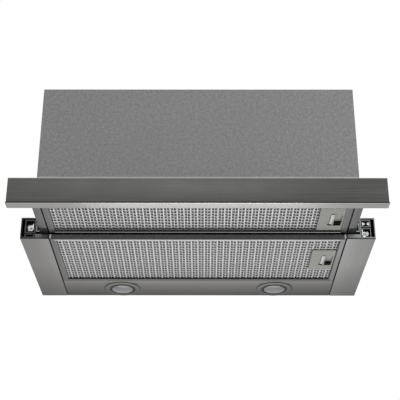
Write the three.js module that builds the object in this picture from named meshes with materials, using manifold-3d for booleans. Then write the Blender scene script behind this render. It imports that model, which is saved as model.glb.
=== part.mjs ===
// A pull-out range hood for a 600 mm kitchen cabinet, with its tray drawn out.
//
// Millimetres, +Z up, +X to the right as seen from the front, +Y towards the wall.
// The origin is the middle of the cabinet's lower front edge: the cabinet rests on z = 0,
// and the front of the hood's base is at y = 0.

import * as THREE from 'three';
import { mergeVertices } from 'three/addons/utils/BufferGeometryUtils.js';
import Module from 'manifold-3d';

const wasm = await Module();
wasm.setup();

// ---------------------------------------------------------------- driving dimensions

const SHEET = 1; // steel sheet of every folded panel
const SEAT = 0.3; // gap left where one piece rests on another
const PANEL_SEAM = 0.4; // visible seam between the lamp panel and the side blocks

// Base, the part that stays below the cabinet
const BASE_WIDTH = 598;
const BASE_DEPTH = 267.3;
const BASE_HEIGHT = 38.8;
const LAMP_ZONE = 76.1; // depth of the base behind the rear filter
const BLOCK_WIDTH = 48.1; // each side block
const BLOCK_RETURN = 9; // height of the block cover's inner upstand

// Body, the part that stands inside the cabinet
const SIDE_STEP = 20; // how much wider the base is than the body, on each side
const BODY_HEIGHT = 256.8;
const COVER_BOTTOM = 76.5; // lower edge of the upper cover
const COVER_HEM = 4; // width of the hem turned in along that edge
const COVER_LAP = 18; // how far the lower housing reaches up inside the cover
const HOUSING_FLANGE = 20; // bottom flange of the lower housing
const TOP_FLANGE = 12; // turned-down edge of the top panel

// Front bar and tray
const PULL_OUT = 122.1; // how far the bar stands in front of the base
const CLOSED_GAP = 0.6; // from the bar to the base when the tray is shut
const BAR_HEIGHT = 42.2;
const BAR_DEPTH = 18.7;
const BAR_DROP = 2; // how far the bar hangs below the base
const CARRIER_WALL = 1.5;
const TRAY_RUNNING_GAP = 2; // from the rear filter up to the tray
const TRAY_PLAY = 0.6; // from the tray filter to the bar and to the base front
const TRAY_DEPTH = 148; // from the bar's back to the tray's rear wall
const RUNNER_WIDTH = 13.5;
const RUNNER_HEIGHT = 18.8;
const RUNNER_SHORTER = 19.3; // how much shorter a runner is than the base
const RUNNER_GAP = 0.4; // from a side block's inner face to the runner
const SHOE_START = 102; // where the plastic shoe takes over from the steel runner
const SHOE_HEIGHT = 4.6;
const SHOE_WALL = 1.6; // upright wall of the shoe, beside the runner
const TONGUE_REACH = 5.6; // how far the shoe's tongue reaches from the runner's side
const TONGUE_HEIGHT = 11;
const RAIL_WALL = 1.5;
const RAIL_PLAY = 0.9; // above, below and beyond the tongue
const RAIL_FRONT = 2;
const TONGUE_SETBACK = 4; // from the rail's front to the tongue with the tray drawn out

// Side block inside
const BRACKET_DEPTH = 28;
const BRACKET_WALL = 2.4;
const BRACKET_BACK = 4; // wall behind the pocket, which the clamp screw goes through
const LEDGE_WIDTH = 37; // width of the channel's top, which carries the cabinet and the body
const LEDGE_STEP = 0.2; // how far that top is pressed down under the body
const CHANNEL_FOOT = 16;
const LEFT_WEB_HEIGHT = 9.5; // the bracket's cross web above the block's floor, left
const RIGHT_WEB_HEIGHT = 20.5; // and right
const WEB_WALL = 2;
const SCREW_HEAD_RADIUS = 4.6;
const SCREW_HEAD_HEIGHT = 3;
const SCREW_SHANK_RADIUS = 2.2;
const SCREW_SLOT_WIDTH = 1.2;
const SCREW_SLOT_DEPTH = 1.4;
const SCREW_SETBACK = 9; // from the bracket's front to the screw head
const CLAMP_WALL = 1.5;

// Grease filters
const FILTER_THICKNESS = 8;
const FILTER_SIDE_GAP = 1.4; // from the filter to the side block
const FRAME_STRIP = 10.8; // width of the frame at the filter's left and right
const REAR_FRAME_STRIP = 10.2; // and at the front and back of the rear filter
const TRAY_FRAME_STRIP = 8; // and of the tray filter
const FRAME_WALL = 1;
const MESH_WALL = 1;
const CORE_WALL = 1;
const CORE_LIFT = 5.2; // height of the inner mesh above the filter's underside
const MESH_PITCH = 11; // one rib and one slot of the face mesh
const MESH_RIB = 3.6;
const CORE_PITCH = 21; // one rib and one slot of the inner mesh, which crosses the face mesh
const CORE_RIB = 7;
const MESH_MARGIN = 7; // how far a mesh reaches into its frame

// Filter latch
const LATCH_WIDTH = 41;
const LATCH_LENGTH = 82.5;
const REAR_LATCH_START = 50.2; // from the rear filter's front edge to its latch
const TRAY_LATCH_START = 26.4;
const LATCH_WALL = 1;
const WINDOW_WIDTH = 19.8; // finger window in the latch plate
const WINDOW_LENGTH = 43.8;
const WINDOW_START = 22.3; // from the plate's front edge
const WINDOW_MARGIN = 2.5; // from the plate's right edge
const LATCH_TRAVEL = 3.8;
const LIP_WIDTH = 7;
const LIP_HEIGHT = 1.3;
const LIP_STEM = 2.8;
const LIP_SHORTER = 4; // how much shorter the lip is than the cup
const CUP_DEPTH = 6.6;
const CUP_WALL = 1;
const BOLT_WIDTH = 14;
const BOLT_HEIGHT = 2.4;
const BOLT_REACH = 1.1; // how far the bolt stands out of the filter
const SPRING_RADIUS = 1.6;
const SPRING_WIRE = 0.7;
const SPRING_TURNS = 6;

// Lamps
const LAMP_INSET = 107.9; // from a side block's inner face to the lamp's centre
const LAMP_REAR = 36.3; // from the lamps' centres to the base's rear edge
const LAMP_PANEL_LIP = 8;
const BEZEL_RADIUS = 34.5;
const BEZEL_HEIGHT = 0.8;
const BEZEL_THROAT = 21.2;
const BEZEL_WALL = 2.4;
const BEZEL_TUBE = 9;
const LENS_DOME = 1.6;
const LENS_WALL = 3;
const LAMP_BODY_HEIGHT = 17;
const SOCKET_HEIGHT = 4;

// Blower
const WHEEL_RADIUS = 72;
const WHEEL_WIDTH = 140;
const WHEEL_GAP = 6; // from the wheel to the scroll at its tightest
const SCROLL_GROWTH = 15; // how much the scroll widens on its way round
const SCROLL_WALL = 2;
const SCROLL_SIDE_GAP = 8; // from the wheel to the scroll's cheeks
const OUTLET_DEPTH = 105;
const WHEEL_CENTRE_HEIGHT = 104;
const INLET_RADIUS = 57;
const BLADE_COUNT = 20;
const BLADE_DEPTH = 11;
const BLADE_WALL = 1.6;
const BLADE_LEAN = 0.5; // radians from the wheel's rim
const BLADE_INSET = 1; // from a blade's edges to the end rings' edges
const WHEEL_RING = 2.5;
const WHEEL_DISC = 2;
const WHEEL_BOSS_RADIUS = 10;
const WHEEL_BOSS_LENGTH = 12;
const MOTOR_RADIUS = 40;
const MOTOR_LENGTH = 62;
const MOTOR_SHOULDER = 7;
const SHAFT_RADIUS = 4;
const SHAFT_IN_MOTOR = 30;
const BRACKET_RING = 8;
const BRACKET_ARM = 12;
const ARM_LAP = 2; // how far an arm reaches into the ring
const BRACKET_ARMS = 3;
const BRACKET_PLATE = 3;
const BRACKET_HUB_RADIUS = 22;

// Outlet
const COLLAR_RADIUS = 60;
const COLLAR_WALL = 2.5;
const COLLAR_HEIGHT = 36;
const COLLAR_FLANGE = 15;
const FLAP_HEIGHT = 9; // the flaps' pin above the collar's flange
const FLAP_WALL = 1.5;
const FLAP_CLEARANCE = 1;
const FLAP_START = 4; // from the pin's axis to the flap's plate
const PIN_RADIUS = 1.8;
const KNUCKLE_RADIUS = 3.4;
const KNUCKLE_LENGTH = 22;
const KNUCKLE_START = 8; // from the middle of the pin to the knuckle

// Electrical pieces
const CAPACITOR_RADIUS = 16;
const CAPACITOR_LENGTH = 58;
const CAPACITOR_PLACE = { inset: 114, front: 52 }; // from the body's side and from its front
const TERMINAL_BOX = { width: 70, depth: 60, height: 30 };
const TERMINAL_WALL = 2;
const TERMINAL_STRIP = { inset: 10, depth: 16 };
const TERMINAL_PLACE = { inset: 27, rear: 29.3 }; // from the body's side and from its rear
const GLAND_PLACE = { inset: 63, ahead: 20 }; // from the body's side and from the terminal box
const GLAND_RADIUS = 9.6;
const GLAND_BORE = 4.2;
const GLAND_NUT_RADIUS = 13;
const GLAND_NUT_HEIGHT = 4;
const GLAND_HEIGHT = 14;
const SWITCH_BODY = { width: 12, depth: 13, height: 9 };
const PLUNGER_WIDTH = 2.4;
const PLUNGER_INSIDE = 4; // how far the plunger reaches into the switch
const PLUNGER_TRAVEL = 2;
const PLUNGER_INSET = 1.5; // from the switch's outer face to the plunger

// Controls on top of the tray, behind the bar
const CONTROL_PLATE = { width: 84, depth: 22, height: 3.6 };
const CONTROL_INSET = 109; // from the bar's end to the middle of the control plate
const CONTROL_SETBACK = 4; // from the bar's back
const SPEED_SLOT_CENTRE = -19; // from the middle of the control plate
const SPEED_SLOT_LENGTH = 34;
const LIGHT_SLOT_CENTRE = 22;
const LIGHT_SLOT_LENGTH = 24;
const SLOT_DEPTH = 9;
const SLOT_DROP = 2; // how deep a slot is cut into the plate
const KNOB_LENGTH = 13;
const KNOB_RISE = 2.4;
const KNOB_SKIRT = 1.2;
const KNOB_SHOULDER = 2; // from the knob's base to its grip, at each end
const GROOVE_PITCH = 2.6; // grooves across the grip
const GROOVE_WIDTH = 1;
const GROOVE_DEPTH = 0.8;

const ROUND = 32; // sides of a large round piece
const SMALL_ROUND = 16;

// ---------------------------------------------------------------- derived places

const OUTER = BASE_WIDTH / 2;
const INNER = OUTER - BLOCK_WIDTH; // inner face of a side block
const BASE_BOTTOM = -BASE_HEIGHT;
const BODY_HALF = OUTER - SIDE_STEP;
const HOUSING_HALF = BODY_HALF - COVER_HEM - SEAT;
const HOUSING_FRONT = COVER_HEM + SEAT;
const HOUSING_BOTTOM = SEAT - LEDGE_STEP;
const BACK_INNER = BASE_DEPTH - SHEET; // inner face of the back panel
const TOP_INNER = BODY_HEIGHT - SHEET; // underside of the top panel
const OUTLET_Y = BASE_DEPTH / 2;
const REAR_FILTER_DEPTH = BASE_DEPTH - LAMP_ZONE;
const RUNNER_LENGTH = BASE_DEPTH - RUNNER_SHORTER;
const LAMP_X = INNER - LAMP_INSET;
const LAMP_Y = BASE_DEPTH - LAMP_REAR;
const TERMINAL_X = BODY_HALF - TERMINAL_PLACE.inset - TERMINAL_BOX.width;
const TERMINAL_Y = BASE_DEPTH - TERMINAL_PLACE.rear - TERMINAL_BOX.depth;
const GLAND_X = BODY_HALF - GLAND_PLACE.inset;
const GLAND_Y = TERMINAL_Y - GLAND_PLACE.ahead;

const FILTER_HALF = INNER - FILTER_SIDE_GAP;
const TRAY_BOTTOM = BASE_BOTTOM + FILTER_THICKNESS + TRAY_RUNNING_GAP;
const TRAY_FILTER_DEPTH = PULL_OUT - 2 * TRAY_PLAY;
const TRAY_SHELF = TRAY_BOTTOM + FILTER_THICKNESS + SEAT; // the ledge above the tray filter
const RUNNER_INNER = INNER + RUNNER_GAP;
const RUNNER_OUTER = RUNNER_INNER + RUNNER_WIDTH;
const RUNNER_TOP = TRAY_BOTTOM + RUNNER_HEIGHT;
const TRAY_TOP = RUNNER_TOP + SEAT; // underside of the tray's top plate

const TONGUE_MIDDLE = (TRAY_BOTTOM + SHOE_HEIGHT + RUNNER_TOP) / 2;
const TONGUE_OUTER = RUNNER_OUTER + TONGUE_REACH;
const SHOE_OUTER = RUNNER_OUTER + SEAT + SHOE_WALL;
const RAIL_MOUTH = SHOE_OUTER + SEAT; // open side of the fixed rail
const RAIL_BACK = TONGUE_OUTER + RAIL_PLAY + RAIL_WALL; // outer face of the fixed rail
const RAIL_HALF_HEIGHT = TONGUE_HEIGHT / 2 + RAIL_PLAY + RAIL_WALL;
const RAIL_REAR = BACK_INNER - 2 * SHEET;
const WALL_FACE = RAIL_BACK + SEAT; // inner face of the block's upright wall

const BLOCK_FLOOR = BASE_BOTTOM + SHEET + SEAT;
const BLOCK_CEILING = -LEDGE_STEP - SHEET - SEAT;
const POCKET_INNER = WALL_FACE + BRACKET_WALL;
const POCKET_OUTER = OUTER - SHEET - SEAT - BRACKET_WALL;
const POCKET_FLOOR = BLOCK_FLOOR + BRACKET_WALL;
const POCKET_CEILING = BLOCK_CEILING - BRACKET_WALL;

const SCROLL_START = WHEEL_RADIUS + WHEEL_GAP;
const SCROLL_END = SCROLL_START + SCROLL_GROWTH;
const SCROLL_HALF = WHEEL_WIDTH / 2 + SCROLL_SIDE_GAP;
const SCROLL_FRONT = OUTLET_Y - OUTLET_DEPTH / 2;
const WHEEL_Y = SCROLL_FRONT + SCROLL_END + SCROLL_WALL;
const MOTOR_FACE = -SCROLL_HALF - SEAT; // the motor hangs from the bracket on the left cheek
const DISC_LEFT = MOTOR_FACE + MOTOR_LENGTH + SEAT + WHEEL_BOSS_LENGTH;

// ---------------------------------------------------------------- geometry helpers

// A closed mesh as a solid that can be joined and cut.
function solidOf(geometry) {
  const bare = geometry.clone();
  bare.deleteAttribute('normal');
  bare.deleteAttribute('uv');
  const merged = mergeVertices(bare, 1e-4);
  const mesh = new wasm.Mesh({
    numProp: 3,
    vertProperties: new Float32Array(merged.attributes.position.array),
    triVerts: new Uint32Array(merged.index.array),
  });
  return new wasm.Manifold(mesh);
}

function geometryOf(solid) {
  const mesh = solid.getMesh();
  const geometry = new THREE.BufferGeometry();
  geometry.setAttribute('position', new THREE.BufferAttribute(mesh.vertProperties, 3));
  geometry.setIndex(new THREE.BufferAttribute(mesh.triVerts, 1));
  geometry.computeVertexNormals();
  return geometry;
}

// A block between two corners, given as ranges along x, y and z in any order.
function block([xa, xb], [ya, yb], [za, zb]) {
  const geometry = new THREE.BoxGeometry(Math.abs(xb - xa), Math.abs(yb - ya), Math.abs(zb - za));
  geometry.translate((xa + xb) / 2, (ya + yb) / 2, (za + zb) / 2);
  return solidOf(geometry);
}

// A round bar along +Z from low to high, centred on x, y.
function post(x, y, radius, low, high, sides = ROUND) {
  const geometry = new THREE.CylinderGeometry(radius, radius, high - low, sides);
  geometry.rotateX(Math.PI / 2);
  geometry.translate(x, y, (low + high) / 2);
  return solidOf(geometry);
}

// A round bar along X between two places, centred on y, z.
function axle(y, z, radius, left, right, sides = ROUND) {
  const geometry = new THREE.CylinderGeometry(radius, radius, right - left, sides);
  geometry.rotateZ(Math.PI / 2);
  geometry.translate((left + right) / 2, y, z);
  return solidOf(geometry);
}

// A round bar along Y between two places, centred on x, z.
function rod(x, z, radius, front, rear, sides = SMALL_ROUND) {
  const geometry = new THREE.CylinderGeometry(radius, radius, rear - front, sides);
  geometry.translate(x, (front + rear) / 2, z);
  return solidOf(geometry);
}

// An outline of points in the Y-Z plane, drawn out along X.
function extrudedAlongX(outline, left, right) {
  const shape = new THREE.Shape(outline.map(([y, z]) => new THREE.Vector2(y, z)));
  const geometry = new THREE.ExtrudeGeometry(shape, { depth: right - left, bevelEnabled: false });
  const turned = new THREE.Matrix4().makeBasis(
    new THREE.Vector3(0, 1, 0),
    new THREE.Vector3(0, 0, 1),
    new THREE.Vector3(1, 0, 0),
  );
  geometry.applyMatrix4(turned);
  geometry.translate(left, 0, 0);
  return solidOf(geometry);
}

// A ring or tube turned about the Z axis from a closed profile of radius, height pairs.
function turned(profile, sides = ROUND) {
  const points = profile.map(([radius, height]) => new THREE.Vector2(radius, height));
  const geometry = new THREE.LatheGeometry([...points, points[0]], sides);
  geometry.rotateX(Math.PI / 2);
  return solidOf(geometry);
}

function joined(first, ...others) {
  return others.reduce((whole, piece) => whole.add(piece), first);
}

function cut(first, ...others) {
  return others.reduce((whole, piece) => whole.subtract(piece), first);
}

function piece(name, solid, material, place = [0, 0, 0]) {
  const mesh = new THREE.Mesh(geometryOf(solid), material);
  mesh.name = name;
  mesh.position.set(...place);
  return mesh;
}

// ---------------------------------------------------------------- finishes

function finish(colour, roughness, metalness) {
  return new THREE.MeshStandardMaterial({ color: colour, roughness, metalness });
}

const brushedSteel = finish(0x9a9a97, 0.38, 1);
const greyPaint = finish(0x828383, 0.5, 0.55);
const zincSteel = finish(0xb4b6b6, 0.42, 0.9);
const darkSteel = finish(0x3a3b3c, 0.5, 0.7);
const runnerSteel = finish(0x6f7070, 0.45, 0.6);
const aluminium = finish(0xb9b9b6, 0.36, 1);
const frameAluminium = finish(0x8d8d8d, 0.4, 0.9);
const darkPlastic = finish(0x2a2b2c, 0.6, 0);
const greyPlastic = finish(0x8f9091, 0.55, 0);
const latchPlastic = finish(0x96978f, 0.55, 0);
const blackPlastic = finish(0x161617, 0.55, 0);
const frostedLens = finish(0x8b8b8c, 0.5, 0);
const brightSteel = finish(0xd2d3d4, 0.2, 1);

// ---------------------------------------------------------------- body

// A U of sheet that wraps the front and both sides, open above, below and behind.
function wrap(half, front, low, high) {
  const outside = block([-half, half], [front, BACK_INNER - SEAT], [low, high]);
  const inside = block([SHEET - half, half - SHEET], [front + SHEET, BASE_DEPTH], [low - SHEET, high + SHEET]);
  return cut(outside, inside);
}

function upperCover() {
  const walls = wrap(BODY_HALF, 0, COVER_BOTTOM, BODY_HEIGHT);
  const hemEdge = BODY_HALF - COVER_HEM;
  const hemPlate = block([-BODY_HALF, BODY_HALF], [0, BACK_INNER - SEAT], [COVER_BOTTOM, COVER_BOTTOM + SHEET]);
  const hemHole = block([-hemEdge, hemEdge], [COVER_HEM, BASE_DEPTH], [0, BODY_HEIGHT]);
  return joined(walls, cut(hemPlate, hemHole));
}

function lowerHousing() {
  const walls = wrap(HOUSING_HALF, HOUSING_FRONT, HOUSING_BOTTOM, COVER_BOTTOM + COVER_LAP);
  const inner = HOUSING_HALF - HOUSING_FLANGE;
  const heights = [HOUSING_BOTTOM, HOUSING_BOTTOM + SHEET];
  const plate = block([-HOUSING_HALF, HOUSING_HALF], [HOUSING_FRONT, BACK_INNER - SEAT], heights);
  const mouth = block([-inner, inner], [HOUSING_FRONT + HOUSING_FLANGE, BASE_DEPTH], [-1, BODY_HEIGHT]);
  return joined(walls, cut(plate, mouth));
}

function topPanel() {
  const half = BODY_HALF - SHEET - SEAT;
  const front = SHEET + SEAT;
  const rear = BACK_INNER - SEAT;
  const lid = block([-half, half], [front, rear], [TOP_INNER, BODY_HEIGHT]);
  const skirt = block([-half, half], [front, rear], [TOP_INNER - TOP_FLANGE, TOP_INNER]);
  const room = block([SHEET - half, half - SHEET], [front + SHEET, rear - SHEET], [0, BODY_HEIGHT]);
  const ductHole = post(0, OUTLET_Y, COLLAR_RADIUS - COLLAR_WALL, 0, BODY_HEIGHT + SHEET);
  const glandRadius = GLAND_RADIUS + SEAT;
  const glandHole = post(GLAND_X, GLAND_Y, glandRadius, 0, BODY_HEIGHT + SHEET, SMALL_ROUND);
  return cut(joined(lid, cut(skirt, room)), ductHole, glandHole);
}

function backPanel() {
  return block([-BODY_HALF, BODY_HALF], [BACK_INNER, BASE_DEPTH], [SEAT, BODY_HEIGHT]);
}

function bodyShell() {
  const group = new THREE.Group();
  group.add(piece('upper_cover', upperCover(), greyPaint));
  group.add(piece('lower_housing', lowerHousing(), greyPaint));
  group.add(piece('top_panel', topPanel(), greyPaint));
  group.add(piece('back_panel', backPanel(), greyPaint));
  return group;
}

// ---------------------------------------------------------------- outlet with its flaps

// Built about the duct's axis, with z = 0 on the top panel.
function ductCollar() {
  const bore = COLLAR_RADIUS - COLLAR_WALL;
  const flange = COLLAR_RADIUS + COLLAR_FLANGE;
  const low = SEAT;
  const profile = [
    [bore, low],
    [flange, low],
    [flange, low + COLLAR_WALL],
    [COLLAR_RADIUS, low + COLLAR_WALL],
    [COLLAR_RADIUS, COLLAR_HEIGHT],
    [bore, COLLAR_HEIGHT],
  ];
  const pin = axle(0, FLAP_HEIGHT, PIN_RADIUS, -bore - COLLAR_WALL / 2, bore + COLLAR_WALL / 2, SMALL_ROUND);
  return joined(turned(profile), pin);
}

// Half a disc on one side of the pin, with its knuckle round the pin. side is -1 for the front flap.
function flap(side) {
  const radius = COLLAR_RADIUS - COLLAR_WALL - FLAP_CLEARANCE;
  const low = FLAP_HEIGHT - FLAP_WALL / 2;
  const high = FLAP_HEIGHT + FLAP_WALL / 2;
  const disc = post(0, 0, radius, low, high);
  const kept = block([-radius, radius], [side * FLAP_START, side * radius], [low - 1, high + 1]);
  const knuckleEnds = side * KNUCKLE_START < side * (KNUCKLE_START + KNUCKLE_LENGTH)
    ? [KNUCKLE_START, KNUCKLE_START + KNUCKLE_LENGTH]
    : [-KNUCKLE_START - KNUCKLE_LENGTH, -KNUCKLE_START];
  const knuckle = axle(0, FLAP_HEIGHT, KNUCKLE_RADIUS, ...knuckleEnds, SMALL_ROUND);
  const strap = block(knuckleEnds, [0, side * (FLAP_START + 1)], [low, high]);
  const bore = axle(0, FLAP_HEIGHT, PIN_RADIUS + SEAT, -radius, radius, SMALL_ROUND);
  return cut(joined(disc.intersect(kept), knuckle, strap), bore);
}

function outlet() {
  const group = new THREE.Group();
  group.position.set(0, OUTLET_Y, BODY_HEIGHT);
  group.add(piece('duct_collar', ductCollar(), greyPlastic));
  group.add(piece('front_flap', flap(-1), darkPlastic));
  group.add(piece('rear_flap', flap(1), darkPlastic));
  return group;
}

// ---------------------------------------------------------------- blower

// The scroll's outline about the wheel's axis, moved in by the given inset.
function scrollOutline(inset, top) {
  const rearWall = OUTLET_DEPTH - SCROLL_END - SCROLL_WALL - inset;
  const frontWall = inset - SCROLL_END - SCROLL_WALL;
  const startRadius = SCROLL_START + SCROLL_WALL - inset;
  const startAngle = Math.acos(rearWall / startRadius);
  const steps = 20;
  const points = [];
  for (let step = 0; step <= steps; step += 1) {
    const share = step / steps;
    const angle = startAngle - share * (startAngle + Math.PI);
    const radius = startRadius + share * (-frontWall - startRadius);
    points.push([radius * Math.cos(angle), radius * Math.sin(angle)]);
  }
  return [...points, [frontWall, top], [rearWall, top]];
}

// One half of the scroll, split across the wheel. side is 1 for the right half.
function scrollHalf(side) {
  const top = TOP_INNER - SEAT - WHEEL_CENTRE_HEIGHT;
  const seam = SEAT / 2;
  const span = (near, far) => (side > 0 ? [near, far] : [-far, -near]);
  const outside = extrudedAlongX(scrollOutline(0, top), ...span(seam, SCROLL_HALF));
  const inside = extrudedAlongX(scrollOutline(SCROLL_WALL, top + 1), ...span(0, SCROLL_HALF - SCROLL_WALL));
  const inlet = axle(0, 0, INLET_RADIUS, ...span(0, SCROLL_HALF + 1));
  return cut(outside, inside, inlet);
}

function motor() {
  const right = MOTOR_FACE + MOTOR_LENGTH;
  const can = axle(0, 0, MOTOR_RADIUS, MOTOR_FACE + MOTOR_SHOULDER, right - MOTOR_SHOULDER);
  const core = axle(0, 0, MOTOR_RADIUS - MOTOR_SHOULDER, MOTOR_FACE, right);
  const bore = axle(0, 0, SHAFT_RADIUS + SEAT, right - SHAFT_IN_MOTOR - SEAT, right + 1, SMALL_ROUND);
  return cut(joined(can, core), bore);
}

// A ring on the left cheek of the scroll, with arms to the plate that the motor hangs from.
function motorBracket() {
  const right = MOTOR_FACE - SEAT;
  const left = right - BRACKET_PLATE;
  const outer = INLET_RADIUS + BRACKET_RING;
  const ring = cut(axle(0, 0, outer, left, right), axle(0, 0, INLET_RADIUS, left - 1, right + 1));
  const hub = axle(0, 0, BRACKET_HUB_RADIUS, left, right);
  const arms = [];
  for (let index = 0; index < BRACKET_ARMS; index += 1) {
    const arm = new THREE.BoxGeometry(BRACKET_PLATE, INLET_RADIUS + ARM_LAP, BRACKET_ARM);
    arm.translate((left + right) / 2, (INLET_RADIUS + ARM_LAP) / 2, 0);
    arm.rotateX((index / BRACKET_ARMS) * 2 * Math.PI + Math.PI / 2);
    arms.push(solidOf(arm));
  }
  return joined(ring, hub, ...arms);
}

function impeller() {
  const half = WHEEL_WIDTH / 2;
  const inner = WHEEL_RADIUS - BLADE_DEPTH;
  const blades = [];
  for (let index = 0; index < BLADE_COUNT; index += 1) {
    const blade = new THREE.BoxGeometry(WHEEL_WIDTH - WHEEL_RING, BLADE_DEPTH - 2 * BLADE_INSET, BLADE_WALL);
    blade.rotateX(BLADE_LEAN);
    blade.translate(0, inner + BLADE_DEPTH / 2, 0);
    blade.rotateX((index / BLADE_COUNT) * 2 * Math.PI);
    blades.push(solidOf(blade));
  }
  const rings = [-half, half - WHEEL_RING].map((left) => {
    const disc = axle(0, 0, WHEEL_RADIUS, left, left + WHEEL_RING);
    return cut(disc, axle(0, 0, inner, left - 1, left + WHEEL_RING + 1));
  });
  const discRight = DISC_LEFT + WHEEL_DISC;
  const bossLeft = DISC_LEFT - WHEEL_BOSS_LENGTH;
  const disc = axle(0, 0, WHEEL_RADIUS - 2 * BLADE_INSET, DISC_LEFT, discRight);
  const boss = axle(0, 0, WHEEL_BOSS_RADIUS, bossLeft, discRight, SMALL_ROUND);
  const bore = axle(0, 0, SHAFT_RADIUS + SEAT, bossLeft - 1, discRight + 1, SMALL_ROUND);
  return cut(joined(disc, boss, ...rings, ...blades), bore);
}

function motorShaft() {
  const motorEnd = MOTOR_FACE + MOTOR_LENGTH;
  return axle(0, 0, SHAFT_RADIUS, motorEnd - SHAFT_IN_MOTOR, DISC_LEFT + WHEEL_DISC, SMALL_ROUND);
}

function blower() {
  const group = new THREE.Group();
  group.position.set(0, WHEEL_Y, WHEEL_CENTRE_HEIGHT);
  group.add(piece('scroll_left', scrollHalf(-1), blackPlastic));
  group.add(piece('scroll_right', scrollHalf(1), blackPlastic));
  group.add(piece('motor', motor(), zincSteel));
  group.add(piece('motor_bracket', motorBracket(), zincSteel));
  group.add(piece('impeller', impeller(), darkPlastic));
  group.add(piece('motor_shaft', motorShaft(), brightSteel));
  return group;
}

// ---------------------------------------------------------------- electrical pieces

function capacitor() {
  const height = TOP_INNER - SEAT - CAPACITOR_RADIUS;
  return rod(0, height, CAPACITOR_RADIUS, 0, CAPACITOR_LENGTH);
}

function terminalBox() {
  const top = TOP_INNER - SEAT;
  const { width, depth, height } = TERMINAL_BOX;
  const tub = block([0, width], [0, depth], [top - height, top]);
  const wall = TERMINAL_WALL;
  const room = block([wall, width - wall], [wall, depth - wall], [top - height + wall, top + 1]);
  const strip = TERMINAL_STRIP;
  const along = [depth / 2 - strip.depth / 2, depth / 2 + strip.depth / 2];
  const heights = [top - height + wall / 2, top - height / 2];
  const terminals = block([strip.inset, width - strip.inset], along, heights);
  const leadHole = rod(width / 2, top - height / 3, GLAND_BORE, -1, wall + 1);
  return cut(joined(cut(tub, room), terminals), leadHole);
}

// The mains lead's gland through the top panel, turned about the Z axis.
function cableGland() {
  const underside = TOP_INNER - SEAT;
  const topside = BODY_HEIGHT + SEAT;
  const profile = [
    [GLAND_BORE, underside - GLAND_NUT_HEIGHT],
    [GLAND_NUT_RADIUS, underside - GLAND_NUT_HEIGHT],
    [GLAND_NUT_RADIUS, underside],
    [GLAND_RADIUS, underside],
    [GLAND_RADIUS, topside],
    [GLAND_NUT_RADIUS, topside],
    [GLAND_NUT_RADIUS, topside + GLAND_NUT_HEIGHT],
    [GLAND_RADIUS, topside + GLAND_NUT_HEIGHT],
    [GLAND_RADIUS - 2, topside + GLAND_HEIGHT],
    [GLAND_BORE, topside + GLAND_HEIGHT],
  ];
  return turned(profile, SMALL_ROUND);
}

// The switch and its plunger are built with x = 0 at the rail's inner wall, y = 0 at the rail's rear
// end and z = 0 at the tongue's middle.
function microSwitch() {
  const { width, depth, height } = SWITCH_BODY;
  const body = block([-width, 0], [-depth, 0], [-height / 2, height / 2]);
  const half = PLUNGER_WIDTH / 2 + SEAT;
  const middle = -PLUNGER_INSET - PLUNGER_WIDTH / 2;
  const bottom = PLUNGER_INSIDE + PLUNGER_TRAVEL + SEAT - depth;
  return cut(body, block([middle - half, middle + half], [-depth - 1, bottom], [-half, half]));
}

// The plunger that the tongue of the shut tray meets.
function switchPlunger() {
  const front = RUNNER_LENGTH - CLOSED_GAP + SEAT - RAIL_REAR;
  const half = PLUNGER_WIDTH / 2;
  const rear = PLUNGER_INSIDE - SWITCH_BODY.depth;
  return block([-PLUNGER_INSET - PLUNGER_WIDTH, -PLUNGER_INSET], [front, rear], [-half, half]);
}

function electrics() {
  const group = new THREE.Group();
  const capacitorPlace = [BODY_HALF - CAPACITOR_PLACE.inset, CAPACITOR_PLACE.front, 0];
  const terminalPlace = [TERMINAL_X, TERMINAL_Y, 0];
  const glandPlace = [GLAND_X, GLAND_Y, 0];
  group.add(piece('capacitor', capacitor(), greyPlastic, capacitorPlace));
  group.add(piece('terminal_box', terminalBox(), blackPlastic, terminalPlace));
  group.add(piece('cable_gland', cableGland(), blackPlastic, glandPlace));
  const switchSpot = [RAIL_BACK - RAIL_WALL - SEAT, RAIL_REAR, TONGUE_MIDDLE];
  group.add(piece('micro_switch', microSwitch(), blackPlastic, switchSpot));
  group.add(piece('switch_plunger', switchPlunger(), greyPlastic, switchSpot));
  return group;
}

// ---------------------------------------------------------------- side blocks

// side is -1 for the left block and 1 for the right one; across() mirrors a range in x.
function across(side, near, far) {
  return [side * near, side * far];
}

// Stainless cover: floor, outer wall and a low upstand along the filter.
function blockCover(side) {
  const floor = block(across(side, INNER, OUTER), [0, BASE_DEPTH], [BASE_BOTTOM, BASE_BOTTOM + SHEET]);
  const wall = block(across(side, OUTER - SHEET, OUTER), [0, BASE_DEPTH], [BASE_BOTTOM, BLOCK_CEILING]);
  const returnHeights = [BASE_BOTTOM, BASE_BOTTOM + BLOCK_RETURN];
  const upstand = block(across(side, INNER, INNER + SHEET), [0, BASE_DEPTH], returnHeights);
  const back = block(across(side, INNER, OUTER), [BACK_INNER, BASE_DEPTH], [BASE_BOTTOM, BLOCK_CEILING]);
  return joined(floor, wall, upstand, back);
}

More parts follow.
